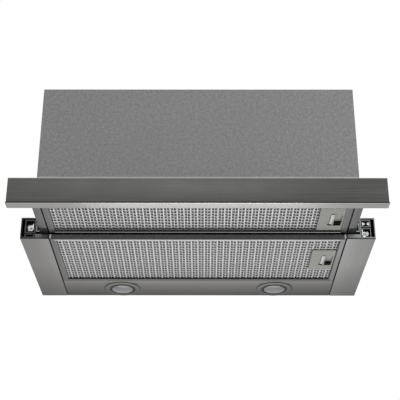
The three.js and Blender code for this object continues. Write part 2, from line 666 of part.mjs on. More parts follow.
// Moulded bracket in the block's open front: a pocket with a cross web, and a low sill beside the rail.
function endBracket(side) {
  const webHeight = side > 0 ? RIGHT_WEB_HEIGHT : LEFT_WEB_HEIGHT;
  const sillInner = INNER + SHEET + SEAT;
  const boxOuter = OUTER - SHEET - SEAT;
  const sillTop = TRAY_BOTTOM - TRAY_RUNNING_GAP + SEAT;
  const web = BLOCK_FLOOR + webHeight;
  const box = block(across(side, WALL_FACE, boxOuter), [0, BRACKET_DEPTH], [BLOCK_FLOOR, BLOCK_CEILING]);
  const sill = block(across(side, sillInner, WALL_FACE + 1), [0, BRACKET_DEPTH], [BLOCK_FLOOR, sillTop]);
  const pocketDepth = BRACKET_DEPTH - BRACKET_BACK;
  const pocket = [
    [POCKET_FLOOR, web],
    [web + WEB_WALL, POCKET_CEILING],
  ].map((heights) => block(across(side, POCKET_INNER, POCKET_OUTER), [-1, pocketDepth], heights));
  const screw = screwPlace(side);
  const hole = rod(screw.x, screw.z, SCREW_SHANK_RADIUS + SEAT, 0, BRACKET_DEPTH + 1);
  return cut(joined(box, sill), ...pocket, hole);
}

// The clamp screw sits in the cell above the web on the left and below it on the right.
function screwPlace(side) {
  const web = BLOCK_FLOOR + (side > 0 ? RIGHT_WEB_HEIGHT : LEFT_WEB_HEIGHT);
  const x = (side * (POCKET_INNER + POCKET_OUTER)) / 2;
  const z = side > 0 ? (POCKET_FLOOR + web) / 2 : (web + WEB_WALL + POCKET_CEILING) / 2;
  return { x, z };
}

function clampScrew(side) {
  const { x, z } = screwPlace(side);
  const headRear = SCREW_SETBACK + SCREW_HEAD_HEIGHT;
  const head = rod(x, z, SCREW_HEAD_RADIUS, SCREW_SETBACK, headRear);
  const shank = rod(x, z, SCREW_SHANK_RADIUS, headRear - 1, BRACKET_DEPTH);
  const long = SCREW_HEAD_RADIUS * 0.6;
  const half = SCREW_SLOT_WIDTH / 2;
  const depth = [0, SCREW_SETBACK + SCREW_SLOT_DEPTH];
  const slots = [
    block([x - long, x + long], depth, [z - half, z + half]),
    block([x - half, x + half], depth, [z - long, z + long]),
  ];
  return cut(joined(head, shank), ...slots);
}

// Bent steel clamp: an upright behind the screw head or in the upper cell, with a foot on the web.
function clampPlate(side) {
  const web = BLOCK_FLOOR + (side > 0 ? RIGHT_WEB_HEIGHT : LEFT_WEB_HEIGHT) + WEB_WALL + SEAT;
  const top = POCKET_CEILING - SEAT - 1;
  const near = POCKET_INNER + SEAT;
  const far = POCKET_OUTER - SEAT;
  const front = SCREW_SETBACK + SCREW_HEAD_HEIGHT + SEAT;
  const upright = block(across(side, near, far), [front, front + CLAMP_WALL], [web, top]);
  const footRear = BRACKET_DEPTH - BRACKET_BACK - SEAT;
  const foot = block(across(side, near, far), [front, footRear], [web, web + CLAMP_WALL]);
  const { x, z } = screwPlace(side);
  const hole = rod(x, z, SCREW_SHANK_RADIUS + SEAT, 0, BRACKET_DEPTH);
  return cut(joined(upright, foot), hole);
}

// Steel channel behind the bracket: a ledge for the cabinet, a lower one for the body, upright web
// and foot.
function sideChannel(side) {
  const rear = BACK_INNER - SEAT;
  const step = BODY_HALF + SEAT;
  const lower = [-LEDGE_STEP - SHEET, -LEDGE_STEP];
  const outerLedge = block(across(side, step, OUTER), [0, rear], [-SHEET, 0]);
  const innerLedge = block(across(side, OUTER - LEDGE_WIDTH, step), [0, rear], lower);
  const webTop = -LEDGE_STEP - SHEET / 2;
  const start = BRACKET_DEPTH + SEAT;
  const web = block(across(side, WALL_FACE, WALL_FACE + SHEET), [start, rear], [BLOCK_FLOOR, webTop]);
  const footOuter = WALL_FACE + CHANNEL_FOOT;
  const foot = block(across(side, WALL_FACE, footOuter), [start, rear], [BLOCK_FLOOR, BLOCK_FLOOR + SHEET]);
  return joined(outerLedge, innerLedge, web, foot);
}

function fixedRail(side) {
  const low = TONGUE_MIDDLE - RAIL_HALF_HEIGHT;
  const high = TONGUE_MIDDLE + RAIL_HALF_HEIGHT;
  const heights = [low + RAIL_WALL, high - RAIL_WALL];
  const whole = block(across(side, RAIL_MOUTH, RAIL_BACK), [RAIL_FRONT, RAIL_REAR], [low, high]);
  const room = block(across(side, RAIL_MOUTH - 1, RAIL_BACK - RAIL_WALL), [0, BASE_DEPTH], heights);
  return cut(whole, room);
}

function sideBlock(side, name) {
  const group = new THREE.Group();
  const bracketFinish = side > 0 ? greyPlastic : darkPlastic;
  group.add(piece(`${name}_block_cover`, blockCover(side), brushedSteel));
  group.add(piece(`${name}_end_bracket`, endBracket(side), bracketFinish));
  group.add(piece(`${name}_side_channel`, sideChannel(side), zincSteel));
  group.add(piece(`${name}_fixed_rail`, fixedRail(side), zincSteel));
  group.add(piece(`${name}_clamp_screw`, clampScrew(side), brightSteel));
  group.add(piece(`${name}_clamp_plate`, clampPlate(side), brightSteel));
  return group;
}

// ---------------------------------------------------------------- lamp panel and lamps

function lampPanel() {
  const half = INNER - PANEL_SEAM;
  const front = REAR_FILTER_DEPTH + SEAT;
  const rear = BACK_INNER - SEAT;
  const floor = block([-half, half], [front, rear], [BASE_BOTTOM, BASE_BOTTOM + SHEET]);
  const lip = block([-half, half], [front, front + SHEET], [BASE_BOTTOM, BASE_BOTTOM + LAMP_PANEL_LIP]);
  const back = block([-half, half], [rear - SHEET, rear], [BASE_BOTTOM, -SEAT]);
  const holes = [-1, 1].map((side) => {
    const radius = BEZEL_THROAT + BEZEL_WALL + SEAT;
    return post(side * LAMP_X, LAMP_Y, radius, BASE_BOTTOM - 1, BASE_BOTTOM + SHEET + 1);
  });
  return cut(joined(floor, lip, back), ...holes);
}

// Built about the lamp's axis, with z = 0 on the panel's underside.
function lampBezel() {
  const tube = BEZEL_THROAT + BEZEL_WALL;
  const profile = [
    [BEZEL_THROAT, -SEAT - BEZEL_HEIGHT],
    [BEZEL_RADIUS, -SEAT - BEZEL_HEIGHT],
    [BEZEL_RADIUS, -SEAT],
    [tube, -SEAT],
    [tube, BEZEL_TUBE],
    [BEZEL_THROAT, BEZEL_TUBE],
  ];
  return turned(profile);
}

function lampLens() {
  const radius = BEZEL_THROAT - SEAT;
  const low = -SEAT - BEZEL_HEIGHT;
  const profile = [[0, low - LENS_DOME]];
  const steps = 4;
  for (let step = 1; step <= steps; step += 1) {
    const share = step / steps;
    profile.push([radius * share, low - LENS_DOME * (1 - share * share)]);
  }
  profile.push([radius, low + LENS_WALL], [0, low + LENS_WALL]);
  return turned(profile);
}

function lampBody() {
  const radius = BEZEL_THROAT + BEZEL_WALL;
  const low = BEZEL_TUBE + SEAT;
  const high = low + LAMP_BODY_HEIGHT;
  const can = post(0, 0, radius, low, high);
  const socket = post(0, 0, radius / 2, high - 1, high + SOCKET_HEIGHT, SMALL_ROUND);
  return joined(can, socket);
}

function lamp(side, name) {
  const group = new THREE.Group();
  group.position.set(side * LAMP_X, LAMP_Y, BASE_BOTTOM);
  group.add(piece(`${name}_lamp_bezel`, lampBezel(), brushedSteel));
  group.add(piece(`${name}_lamp_lens`, lampLens(), frostedLens));
  group.add(piece(`${name}_lamp_body`, lampBody(), zincSteel));
  return group;
}

// ---------------------------------------------------------------- grease filters

// Every filter is built about the middle of its front lower edge: y = 0 at the front, z = 0 below.

// Where the latch lies on a filter: its plate, its finger window and the bolt's middle.
function latchPlace(start) {
  const right = FILTER_HALF - FRAME_STRIP - SEAT;
  const left = right - LATCH_WIDTH;
  const windowRight = right - WINDOW_MARGIN;
  const windowLeft = windowRight - WINDOW_WIDTH;
  const windowFront = start + WINDOW_START;
  const windowRear = windowFront + WINDOW_LENGTH;
  return {
    left,
    right,
    front: start,
    rear: start + LATCH_LENGTH,
    windowLeft,
    windowRight,
    windowFront,
    windowRear,
    middle: (windowFront + windowRear) / 2,
  };
}

const BOLT_LOW = FILTER_THICKNESS / 2 - BOLT_HEIGHT / 2;

// A folded channel frame, open towards the mesh, with a slot for the latch's bolt.
function filterFrame(depth, strip, latch) {
  const wall = FRAME_WALL;
  const inside = FILTER_HALF - FRAME_STRIP;
  const whole = block([-FILTER_HALF, FILTER_HALF], [0, depth], [0, FILTER_THICKNESS]);
  const opening = block([-inside, inside], [strip, depth - strip], [-1, FILTER_THICKNESS + 1]);
  const grooveHalf = FILTER_HALF - wall;
  const groove = block([-grooveHalf, grooveHalf], [wall, depth - wall], [wall, FILTER_THICKNESS - wall]);
  const boltHalf = BOLT_WIDTH / 2 + SEAT;
  const slot = block(
    [FILTER_HALF - 2 * wall, FILTER_HALF + 1],
    [latch.middle - boltHalf, latch.middle + boltHalf],
    [BOLT_LOW - SEAT, BOLT_LOW + BOLT_HEIGHT + SEAT],
  );
  return cut(whole, opening, groove, slot);
}

// The cut-out that both meshes leave for the latch.
function latchCutout(latch) {
  const sides = [latch.left + SEAT, FILTER_HALF];
  return block(sides, [latch.front + SEAT, latch.rear - SEAT], [0, FILTER_THICKNESS]);
}

// Ribs that run from front to back, as wide slots in one sheet.
function faceMesh(depth, strip, latch) {
  const half = FILTER_HALF - FRAME_STRIP + MESH_MARGIN;
  const front = strip - MESH_MARGIN + 1;
  const low = FRAME_WALL + SEAT;
  const sheet = block([-half, half], [front, depth - front], [low, low + MESH_WALL]);
  const slotFront = strip + 1;
  const slotRear = depth - strip - 1;
  const count = Math.floor((2 * (FILTER_HALF - FRAME_STRIP)) / MESH_PITCH);
  const slotHalf = (MESH_PITCH - MESH_RIB) / 2;
  const slots = [];
  for (let index = 0; index < count; index += 1) {
    const x = (index - (count - 1) / 2) * MESH_PITCH;
    const reachesLatch = x + slotHalf > latch.left - MESH_RIB / 2;
    const stretches = reachesLatch
      ? [[slotFront, latch.front - 2], [latch.rear + 2, slotRear]]
      : [[slotFront, slotRear]];
    for (const [near, far] of stretches.filter(([a, b]) => b - a > MESH_RIB)) {
      slots.push(block([x - slotHalf, x + slotHalf], [near, far], [0, FILTER_THICKNESS]));
    }
  }
  return cut(sheet, latchCutout(latch), ...slots);
}

// The inner mesh, with its slots across the face mesh's.
function coreMesh(depth, strip, latch) {
  const half = FILTER_HALF - FRAME_STRIP + MESH_MARGIN;
  const front = strip - MESH_MARGIN + 1;
  const sheet = block([-half, half], [front, depth - front], [CORE_LIFT, CORE_LIFT + CORE_WALL]);
  const open = depth - 2 * strip;
  const count = Math.floor(open / CORE_PITCH);
  const slotHalf = (CORE_PITCH - CORE_RIB) / 2;
  const right = latch.left - CORE_RIB;
  const slots = [];
  for (let index = 0; index < count; index += 1) {
    const y = depth / 2 + (index - (count - 1) / 2) * CORE_PITCH;
    const left = -FILTER_HALF + FRAME_STRIP + 2;
    slots.push(block([left, right], [y - slotHalf, y + slotHalf], [0, FILTER_THICKNESS]));
  }
  return cut(sheet, latchCutout(latch), ...slots);
}

// The latch's housing: a face plate with the finger window and three walls behind it.
function latchPlate(latch) {
  const top = FILTER_THICKNESS - SEAT;
  const face = block([latch.left, latch.right], [latch.front, latch.rear], [0, LATCH_WALL]);
  const inset = 2 * SEAT;
  const left = latch.left + inset;
  const front = latch.front + inset;
  const rear = latch.rear - inset;
  const walls = block([left, latch.right], [front, rear], [0, top]);
  const room = block([left + LATCH_WALL, OUTER], [front + LATCH_WALL, rear - LATCH_WALL], [LATCH_WALL, OUTER]);
  const opening = block(
    [latch.windowLeft, latch.windowRight],
    [latch.windowFront, latch.windowRear],
    [-1, LATCH_WALL + 1],
  );
  return cut(joined(face, cut(walls, room)), opening);
}

// The sliding handle: a raised lip, the finger cup beside it and the bolt, in one moulding.
function latchHandle(latch) {
  const stemLeft = latch.windowLeft + LATCH_TRAVEL + SEAT;
  const cupFront = latch.windowFront + SEAT;
  const cupRear = latch.windowRear - SEAT;
  const cupRight = latch.windowRight - SEAT;
  const lipRear = cupRear - LIP_SHORTER;
  const lipRight = stemLeft + LIP_STEM;
  const lipTop = -SEAT;
  const lip = block([lipRight - LIP_WIDTH, lipRight], [cupFront, lipRear], [lipTop - LIP_HEIGHT, lipTop]);
  const stem = block([stemLeft, lipRight], [cupFront, lipRear], [lipTop - LIP_HEIGHT, CUP_DEPTH]);
  const cup = block([stemLeft, cupRight], [cupFront, cupRear], [LATCH_WALL / 2, CUP_DEPTH]);
  const hollowAlong = [cupFront + CUP_WALL, cupRear - CUP_WALL];
  const hollow = block([lipRight, cupRight - CUP_WALL], hollowAlong, [-1, CUP_DEPTH - CUP_WALL]);
  const boltHalf = BOLT_WIDTH / 2;
  const bolt = block(
    [cupRight - CUP_WALL / 2, FILTER_HALF + BOLT_REACH],
    [latch.middle - boltHalf, latch.middle + boltHalf],
    [BOLT_LOW, BOLT_LOW + BOLT_HEIGHT],
  );
  return joined(cut(joined(cup, stem), hollow), lip, bolt);
}

// A coil along X between the housing's left wall and the handle's stem.
function latchSpring(latch) {
  const left = latch.left + 2 * SEAT + LATCH_WALL + SEAT + SPRING_WIRE / 2;
  const right = latch.windowLeft + LATCH_TRAVEL - SPRING_WIRE / 2;
  class Coil extends THREE.Curve {
    getPoint(share, target = new THREE.Vector3()) {
      const angle = share * SPRING_TURNS * 2 * Math.PI;
      const x = left + share * (right - left);
      return target.set(x, SPRING_RADIUS * Math.cos(angle), SPRING_RADIUS * Math.sin(angle));
    }
  }
  const wire = new THREE.Shape();
  wire.absarc(0, 0, SPRING_WIRE / 2, 0, 2 * Math.PI);
  const geometry = new THREE.ExtrudeGeometry(wire, {
    steps: SPRING_TURNS * 9,
    curveSegments: 3,
    bevelEnabled: false,
    extrudePath: new Coil(),
  });
  geometry.translate(0, latch.middle, FILTER_THICKNESS / 2);
  return solidOf(geometry);
}

function filter(name, depth, strip, latchStart, place) {
  const latch = latchPlace(latchStart);
  const group = new THREE.Group();
  group.position.set(...place);
  group.add(piece(`${name}_filter_frame`, filterFrame(depth, strip, latch), frameAluminium));
  group.add(piece(`${name}_filter_mesh`, faceMesh(depth, strip, latch), aluminium));
  group.add(piece(`${name}_filter_core`, coreMesh(depth, strip, latch), aluminium));
  group.add(piece(`${name}_latch_plate`, latchPlate(latch), latchPlastic));
  group.add(piece(`${name}_latch_handle`, latchHandle(latch), latchPlastic));
  group.add(piece(`${name}_latch_spring`, latchSpring(latch), brightSteel));
  return group;
}

// ---------------------------------------------------------------- pull-out

// The pull-out is built with y = 0 at the bar's back.

// Folded stainless bar, open behind.
function frontBar() {
  const low = BASE_BOTTOM - BAR_DROP;
  const high = low + BAR_HEIGHT;
  const outside = block([-OUTER, OUTER], [-BAR_DEPTH, 0], [low, high]);
  const inside = block([SHEET - OUTER, OUTER - SHEET], [SHEET - BAR_DEPTH, 1], [low + SHEET, high - SHEET]);
  return cut(outside, inside);
}

// The carrier that closes the bar's back and joins it to the tray.
function barCarrier() {
  const half = OUTER - SHEET - SEAT;
  const low = BASE_BOTTOM - BAR_DROP + SHEET + SEAT;
  const high = low + BAR_HEIGHT - 2 * (SHEET + SEAT);
  const front = SHEET + SEAT - BAR_DEPTH;
  const whole = block([-half, half], [front, 0], [low, high]);
  const room = block(
    [CARRIER_WALL - half, half - CARRIER_WALL],
    [front - 1, -CARRIER_WALL],
    [low + CARRIER_WALL, high - CARRIER_WALL],
  );
  return cut(whole, room);
}

// The ledge above the tray filter, with a wall behind it.
function trayFrame() {
  const half = RUNNER_INNER - SEAT;
  const inside = FILTER_HALF - FRAME_STRIP;
  const rear = TRAY_DEPTH;
  const ledge = block([-half, half], [SEAT, rear], [TRAY_SHELF, TRAY_SHELF + SHEET]);
  const hole = block([-inside, inside], [TRAY_FRAME_STRIP, PULL_OUT - TRAY_FRAME_STRIP], [TRAY_BOTTOM, 0]);
  const frontWall = block([-half, half], [SEAT, SEAT + SHEET], [TRAY_SHELF, RUNNER_TOP]);
  const rearWall = block([-half, half], [rear - SHEET, rear], [TRAY_BOTTOM, TRAY_SHELF + SHEET]);
  const sides = [-1, 1].map((side) => {
    return block(across(side, half - SHEET, half), [SEAT, rear], [TRAY_SHELF, RUNNER_TOP]);
  });
  return joined(cut(ledge, hole), frontWall, rearWall, ...sides);
}

function trayTopPlate() {
  return block([-RUNNER_OUTER, RUNNER_OUTER], [SEAT, TRAY_DEPTH], [TRAY_TOP, TRAY_TOP + SHEET]);
}

// Steel runner: full height in front, and its upper part above the shoe behind.
function slideRunner(side) {
  const shoeTop = TRAY_BOTTOM + SHOE_HEIGHT;
  const width = across(side, RUNNER_INNER, RUNNER_OUTER);
  const low = block(width, [SEAT, SHOE_START - SEAT], [TRAY_BOTTOM, shoeTop + SHEET]);
  const high = block(width, [SEAT, RUNNER_LENGTH], [shoeTop + SEAT, RUNNER_TOP]);
  const room = block(
    across(side, RUNNER_INNER + RAIL_WALL, RUNNER_OUTER - RAIL_WALL),
    [SEAT + RAIL_WALL, RUNNER_LENGTH + 1],
    [shoeTop + SEAT + RAIL_WALL, RUNNER_TOP - RAIL_WALL],
  );
  return cut(joined(low, high), room);
}

// Plastic shoe under and beside the runner, with the tongue that slides in the fixed rail.
function slideShoe(side) {
  const low = TONGUE_MIDDLE - TONGUE_HEIGHT / 2;
  const high = TONGUE_MIDDLE + TONGUE_HEIGHT / 2;
  const shoeTop = TRAY_BOTTOM + SHOE_HEIGHT;
  const wallInner = RUNNER_OUTER + SEAT;
  const long = [PULL_OUT + RAIL_FRONT + TONGUE_SETBACK, RUNNER_LENGTH];
  const width = across(side, RUNNER_INNER, RUNNER_OUTER);
  const sole = block(width, [SHOE_START, RUNNER_LENGTH], [TRAY_BOTTOM, shoeTop]);
  const wall = block(across(side, RUNNER_OUTER - 1, SHOE_OUTER), long, [TRAY_BOTTOM, shoeTop]);
  const upright = block(across(side, wallInner, SHOE_OUTER), long, [TRAY_BOTTOM, high]);
  const tongue = block(across(side, wallInner, TONGUE_OUTER), long, [low, high]);
  return joined(sole, wall, upright, tongue);
}

// The places of the two control slots, from the middle of the plate.
const CONTROL_SLOTS = [
  { name: 'speed_switch', centre: SPEED_SLOT_CENTRE, length: SPEED_SLOT_LENGTH },
  { name: 'light_switch', centre: LIGHT_SLOT_CENTRE, length: LIGHT_SLOT_LENGTH },
];

// Built about its own middle, with z = 0 on the tray's top plate.
function controlPlate() {
  const { width, depth, height } = CONTROL_PLATE;
  const whole = block([-width / 2, width / 2], [-depth / 2, depth / 2], [SEAT, height]);
  const slots = CONTROL_SLOTS.map(({ centre, length }) => {
    const ends = [centre - length / 2, centre + length / 2];
    return block(ends, [-SLOT_DEPTH / 2, SLOT_DEPTH / 2], [height - SLOT_DROP, height + 1]);
  });
  return cut(whole, ...slots);
}

// A grooved knob at the left end of its slot.
function controlKnob({ centre, length }) {
  const left = centre - length / 2 + SEAT;
  const right = left + KNOB_LENGTH;
  const half = SLOT_DEPTH / 2 - SEAT;
  const low = CONTROL_PLATE.height - SLOT_DROP + SEAT;
  const top = CONTROL_PLATE.height + KNOB_RISE;
  const base = block([left, right], [-half, half], [low, low + KNOB_SKIRT]);
  const grip = block([left + KNOB_SHOULDER, right - KNOB_SHOULDER], [1 - half, half - 1], [low, top]);
  const grooves = [-1, 0, 1].map((step) => {
    const x = (left + right) / 2 + step * GROOVE_PITCH;
    const ends = [x - GROOVE_WIDTH / 2, x + GROOVE_WIDTH / 2];
    return block(ends, [-half, half], [top - GROOVE_DEPTH, top + 1]);
  });
  return cut(joined(base, grip), ...grooves);
}

function controls() {
  const group = new THREE.Group();
  const y = CONTROL_SETBACK + CONTROL_PLATE.depth / 2;
  group.position.set(OUTER - CONTROL_INSET, y, TRAY_TOP + SHEET);
  group.add(piece('control_plate', controlPlate(), blackPlastic));
  for (const slot of CONTROL_SLOTS) {
    group.add(piece(slot.name, controlKnob(slot), greyPlastic));
  }
  return group;
}

function pullOut() {
  const group = new THREE.Group();
  group.position.set(0, -PULL_OUT, 0);
  group.add(piece('front_bar', frontBar(), brushedSteel));
  group.add(piece('bar_carrier', barCarrier(), darkSteel));
  group.add(piece('tray_frame', trayFrame(), darkSteel));
  group.add(piece('tray_top_plate', trayTopPlate(), greyPaint));
  group.add(piece('left_slide_runner', slideRunner(-1), runnerSteel));
  group.add(piece('right_slide_runner', slideRunner(1), runnerSteel));
  group.add(piece('left_slide_shoe', slideShoe(-1), darkPlastic));
  group.add(piece('right_slide_shoe', slideShoe(1), darkPlastic));
  group.add(controls());
  const filterPlace = [0, TRAY_PLAY, TRAY_BOTTOM];
  group.add(filter('front', TRAY_FILTER_DEPTH, TRAY_FRAME_STRIP, TRAY_LATCH_START, filterPlace));
  return group;
}

// ---------------------------------------------------------------- the hood

const hood = new THREE.Group();
hood.add(bodyShell());
hood.add(outlet());
hood.add(blower());
hood.add(electrics());
hood.add(sideBlock(-1, 'left'));
hood.add(sideBlock(1, 'right'));
hood.add(piece('lamp_panel', lampPanel(), brushedSteel));
hood.add(lamp(-1, 'left'));
hood.add(lamp(1, 'right'));
hood.add(filter('rear', REAR_FILTER_DEPTH, REAR_FRAME_STRIP, REAR_LATCH_START, [0, 0, BASE_BOTTOM]));
hood.add(pullOut());

export default hood;
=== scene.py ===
"""The looks of a pull-out range hood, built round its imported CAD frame.

All shapes are worked out in millimetres, in the hood's own frame: +X to the right seen from the
front, +Y towards the wall, +Z up, with z = 0 where the cabinet rests on the base.
"""

import logging
import math
from dataclasses import dataclass, replace
from enum import Enum

import bmesh
import bpy
import numpy as np
from mathutils import Matrix, Vector


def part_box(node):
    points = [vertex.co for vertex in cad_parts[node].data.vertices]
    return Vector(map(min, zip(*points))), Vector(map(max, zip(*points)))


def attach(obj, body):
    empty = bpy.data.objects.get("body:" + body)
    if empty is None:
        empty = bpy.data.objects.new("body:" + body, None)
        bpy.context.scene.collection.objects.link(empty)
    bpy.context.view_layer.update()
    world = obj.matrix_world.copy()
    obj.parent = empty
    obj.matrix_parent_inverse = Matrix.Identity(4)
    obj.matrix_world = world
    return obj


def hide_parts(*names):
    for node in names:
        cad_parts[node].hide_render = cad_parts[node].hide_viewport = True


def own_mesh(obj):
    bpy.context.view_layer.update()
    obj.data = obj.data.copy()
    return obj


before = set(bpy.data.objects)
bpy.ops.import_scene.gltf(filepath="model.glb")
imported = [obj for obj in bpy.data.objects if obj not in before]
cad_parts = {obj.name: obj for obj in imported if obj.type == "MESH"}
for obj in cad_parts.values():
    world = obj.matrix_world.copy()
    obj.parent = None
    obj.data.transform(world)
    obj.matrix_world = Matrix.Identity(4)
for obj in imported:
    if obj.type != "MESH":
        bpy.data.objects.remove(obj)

log = logging.getLogger("hood")

MM = 1000.0  # millimetres in a metre
WELD = 2e-7  # points of one piece closer than this are one point, in metres
SEAT = 0.3  # gap left where one piece rests on another
END = math.inf  # a range that is open at this end
SIDES = ((-1, "left"), (1, "right"))


# ---------------------------------------------------------------- shapes as whole arrays


class Axis(Enum):
    """The axis that an outline is drawn out along, with the order in which its points are laid."""

    X = (2, 0, 1)
    Y = (0, 2, 1)
    Z = (0, 1, 2)


Range = tuple[float, float]  # the low and high of a span, or the two numbers of a point


@dataclass
class Surface:
    """A shape in the making."""

    points: np.ndarray  # the points, one row of x, y, z each, in millimetres
    faces: list[list[int]]  # the faces, each a list of point numbers

    def joined(self, *others: "Surface") -> "Surface":
        """This shape and the others as one, with nothing welded.

        Args:
            others: the shapes to add.

        Returns:
            The shape that holds them all.
        """
        points = [self.points]
        faces = list(self.faces)
        count = len(self.points)
        for other in others:
            faces += [[number + count for number in face] for face in other.faces]
            points.append(other.points)
            count += len(other.points)
        return Surface(np.concatenate(points), faces)

    def moved(self, x: float = 0.0, y: float = 0.0, z: float = 0.0) -> "Surface":
        """The shape moved along the axes."""
        return Surface(self.points + np.array([x, y, z]), self.faces)

    def mirrored(self) -> "Surface":
        """The shape on the other side of the plane x = 0."""
        return Surface(self.points * np.array([-1.0, 1.0, 1.0]), self.faces)

    def on(self, side: int) -> "Surface":
        """The shape, drawn for the right, on the right for side 1 and on the left for -1."""
        return self if side > 0 else self.mirrored()

    def laid(self, axis: Axis) -> "Surface":
        """The shape, drawn in x and y and standing along z, laid along the axis."""
        return Surface(self.points[:, list(axis.value)], self.faces)

    def turned(self, axis: str, degrees: float) -> "Surface":
        """The shape turned about an axis through the origin by the right-hand rule."""
        matrix = np.array(Matrix.Rotation(math.radians(degrees), 3, axis))
        return Surface(self.points @ matrix.T, self.faces)


def merged(surfaces: list[Surface]) -> Surface:
    """All the shapes as one."""
    return surfaces[0].joined(*surfaces[1:])


def grid(points: np.ndarray, close_rows: bool = False, close_columns: bool = False) -> Surface:
    """Quads between neighbours of a grid of points, p(i, j) to p(i+1, j+1).

    Args:
        points: rows by columns by 3.
        close_rows: joins the last row to the first.
        close_columns: joins the last column to the first.

    Returns:
        The surface.
    """
    rows, columns = points.shape[:2]
    i, j = np.meshgrid(
        np.arange(rows if close_rows else rows - 1),
        np.arange(columns if close_columns else columns - 1),
        indexing="ij",
    )
    below, right = (i + 1) % rows, (j + 1) % columns
    corners = [i * columns + j, i * columns + right, below * columns + right, below * columns + j]
    return Surface(points.reshape(-1, 3), np.stack(corners, -1).reshape(-1, 4).tolist())


def between(lower: np.ndarray, upper: np.ndarray) -> Surface:
    """The closed shape between two grids of points of the same size.

    Args:
        lower: one grid, rows by columns by 3.
        upper: the other grid.

    Returns:
        The closed surface.
    """
    rows, columns = lower.shape[:2]
    edge = [(0, j) for j in range(columns)] + [(i, columns - 1) for i in range(1, rows)]
    edge += [(rows - 1, j) for j in range(columns - 2, -1, -1)] + [(i, 0) for i in range(rows - 2, 0, -1)]
    ring = np.array([[points[i, j] for i, j in edge] for points in (lower, upper)])
    return merged([grid(lower), grid(upper), grid(ring, close_columns=True)])


def loft(loops: np.ndarray, ring: bool = False) -> Surface:
    """A skin through closed loops, one row of points each, with flat ends.

    Args:
        loops: loops by points by 3.
        ring: joins the last loop to the first in place of the ends.

    Returns:
        The closed surface.
    """
    surface = grid(loops, close_rows=ring, close_columns=True)
    if not ring:
        count, size = loops.shape[:2]
        last = (count - 1) * size
        surface.faces += [list(range(size)), list(range(last, last + size))]
    return surface


def extruded(outline: np.ndarray, start: float, end: float, axis: Axis) -> Surface:
    """A closed outline of 2-D points drawn out from start to end along the axis.

    Args:
        outline: the outline's points, in rows.
        start: where it starts.
        end: where it ends.
        axis: the axis.

    Returns:
        The closed surface.
    """
    flat = np.broadcast_to(outline, (2, *outline.shape))
    along = np.broadcast_to(np.array([start, end])[:, None, None], (2, len(outline), 1))
    return loft(np.concatenate([flat, along], axis=2)).laid(axis)


def revolved(profile: np.ndarray | list[Range], sides: int = 64, axis: Axis = Axis.Z) -> Surface:
    """A closed profile of radius, height rows turned about the axis through the origin.

    Each point goes round as (radius cos a, radius sin a) at its own height.

    Args:
        profile: radius, height rows; a closed ring, or from the axis back to the axis.
        sides: the number of steps round.
        axis: the axis of the turn.

    Returns:
        The closed surface.
    """
    angle = np.linspace(0, 2 * np.pi, sides, endpoint=False)[:, None]
    radius, height = np.array(profile, float).T
    points = np.stack([radius * np.cos(angle), radius * np.sin(angle), height + 0 * angle], axis=-1)
    open_ends = abs(radius[0]) < 1e-6 and abs(radius[-1]) < 1e-6
    surface = grid(points, close_rows=True, close_columns=not open_ends)
    if axis is Axis.X:
        return surface.turned("Y", 90)
    return surface if axis is Axis.Z else surface.turned("X", -90)


def arc(centre: Range, radius: float, start: float, end: float, steps: int) -> np.ndarray:
    """Points at equal angles, in degrees, along an arc about a centre."""
    angle = np.radians(np.linspace(start, end, steps + 1))
    return np.array(centre) + radius * np.stack([np.cos(angle), np.sin(angle)], axis=1)


def folded(corners: list[Range], radius: float | list[float], steps: int = 4) -> np.ndarray:
    """An open line of straight runs with every inner corner rounded.

    Each corner is replaced by a quadratic arc from radius before it to radius after it:
    (1-t)^2 a + 2 t (1-t) corner + t^2 b.

    Args:
        corners: the line's ends and corners.
        radius: how far from a corner its rounding starts, one for all or one for each.
        steps: the rounding's number of steps.

    Returns:
        The line's points, in rows.
    """
    line = np.array(corners, float)
    radii = radius if isinstance(radius, list) else [radius] * (len(line) - 2)
    t = np.linspace(0, 1, steps + 1)[:, None]
    parts = [line[:1]]
    for before, corner, after, reach in zip(line[:-2], line[1:-1], line[2:], radii):
        a = corner + reach * (before - corner) / np.linalg.norm(before - corner)
        b = corner + reach * (after - corner) / np.linalg.norm(after - corner)
        parts.append((1 - t) ** 2 * a + 2 * t * (1 - t) * corner + t**2 * b)
    parts.append(line[-1:])
    return np.concatenate(parts)


def mitres(line: np.ndarray) -> np.ndarray:
    """The normals to the left of a line's points, lengthened at its corners.

    At a corner it is (n1 + n2) / (1 + n1 . n2), with n1 and n2 the normals before and after it.

    Args:
        line: the line's points, in rows.

    Returns:
        A normal to each point.
    """
    step = np.diff(line, axis=0)
    step /= np.linalg.norm(step, axis=1)[:, None]
    normal = np.stack([-step[:, 1], step[:, 0]], axis=1)
    before = np.concatenate([normal[:1], normal])
    after = np.concatenate([normal, normal[-1:]])
    return (before + after) / (1 + np.sum(before * after, axis=1))[:, None]


def sheet(line: np.ndarray, thickness: float) -> np.ndarray:
    """The closed outline of a sheet whose one face is the line and whose other lies to its left."""
    return np.concatenate([line, (line + thickness * mitres(line))[::-1]])


def rounded_rectangle(x: Range, y: Range, radius: float, steps: int = 5) -> np.ndarray:
    """Points round a rectangle with quarter-circle corners, anticlockwise from the right.

    Args:
        x: its left and right.
        y: its lower and upper edge.
        radius: the corners' radius, held to half a side.
        steps: steps to a corner.

    Returns:
        The points, in rows.
    """
    radius = max(min(radius, (x[1] - x[0]) / 2 - 1e-3, (y[1] - y[0]) / 2 - 1e-3), 1e-3)
    centres = [
        (x[1] - radius, y[0] + radius), (x[1] - radius, y[1] - radius), (x[0] + radius, y[1] - radius),
        (x[0] + radius, y[0] + radius),
    ]
    turns = [(-90, 0), (0, 90), (90, 180), (180, 270)]
    return np.concatenate([arc(c, radius, *turn, steps) for c, turn in zip(centres, turns)])


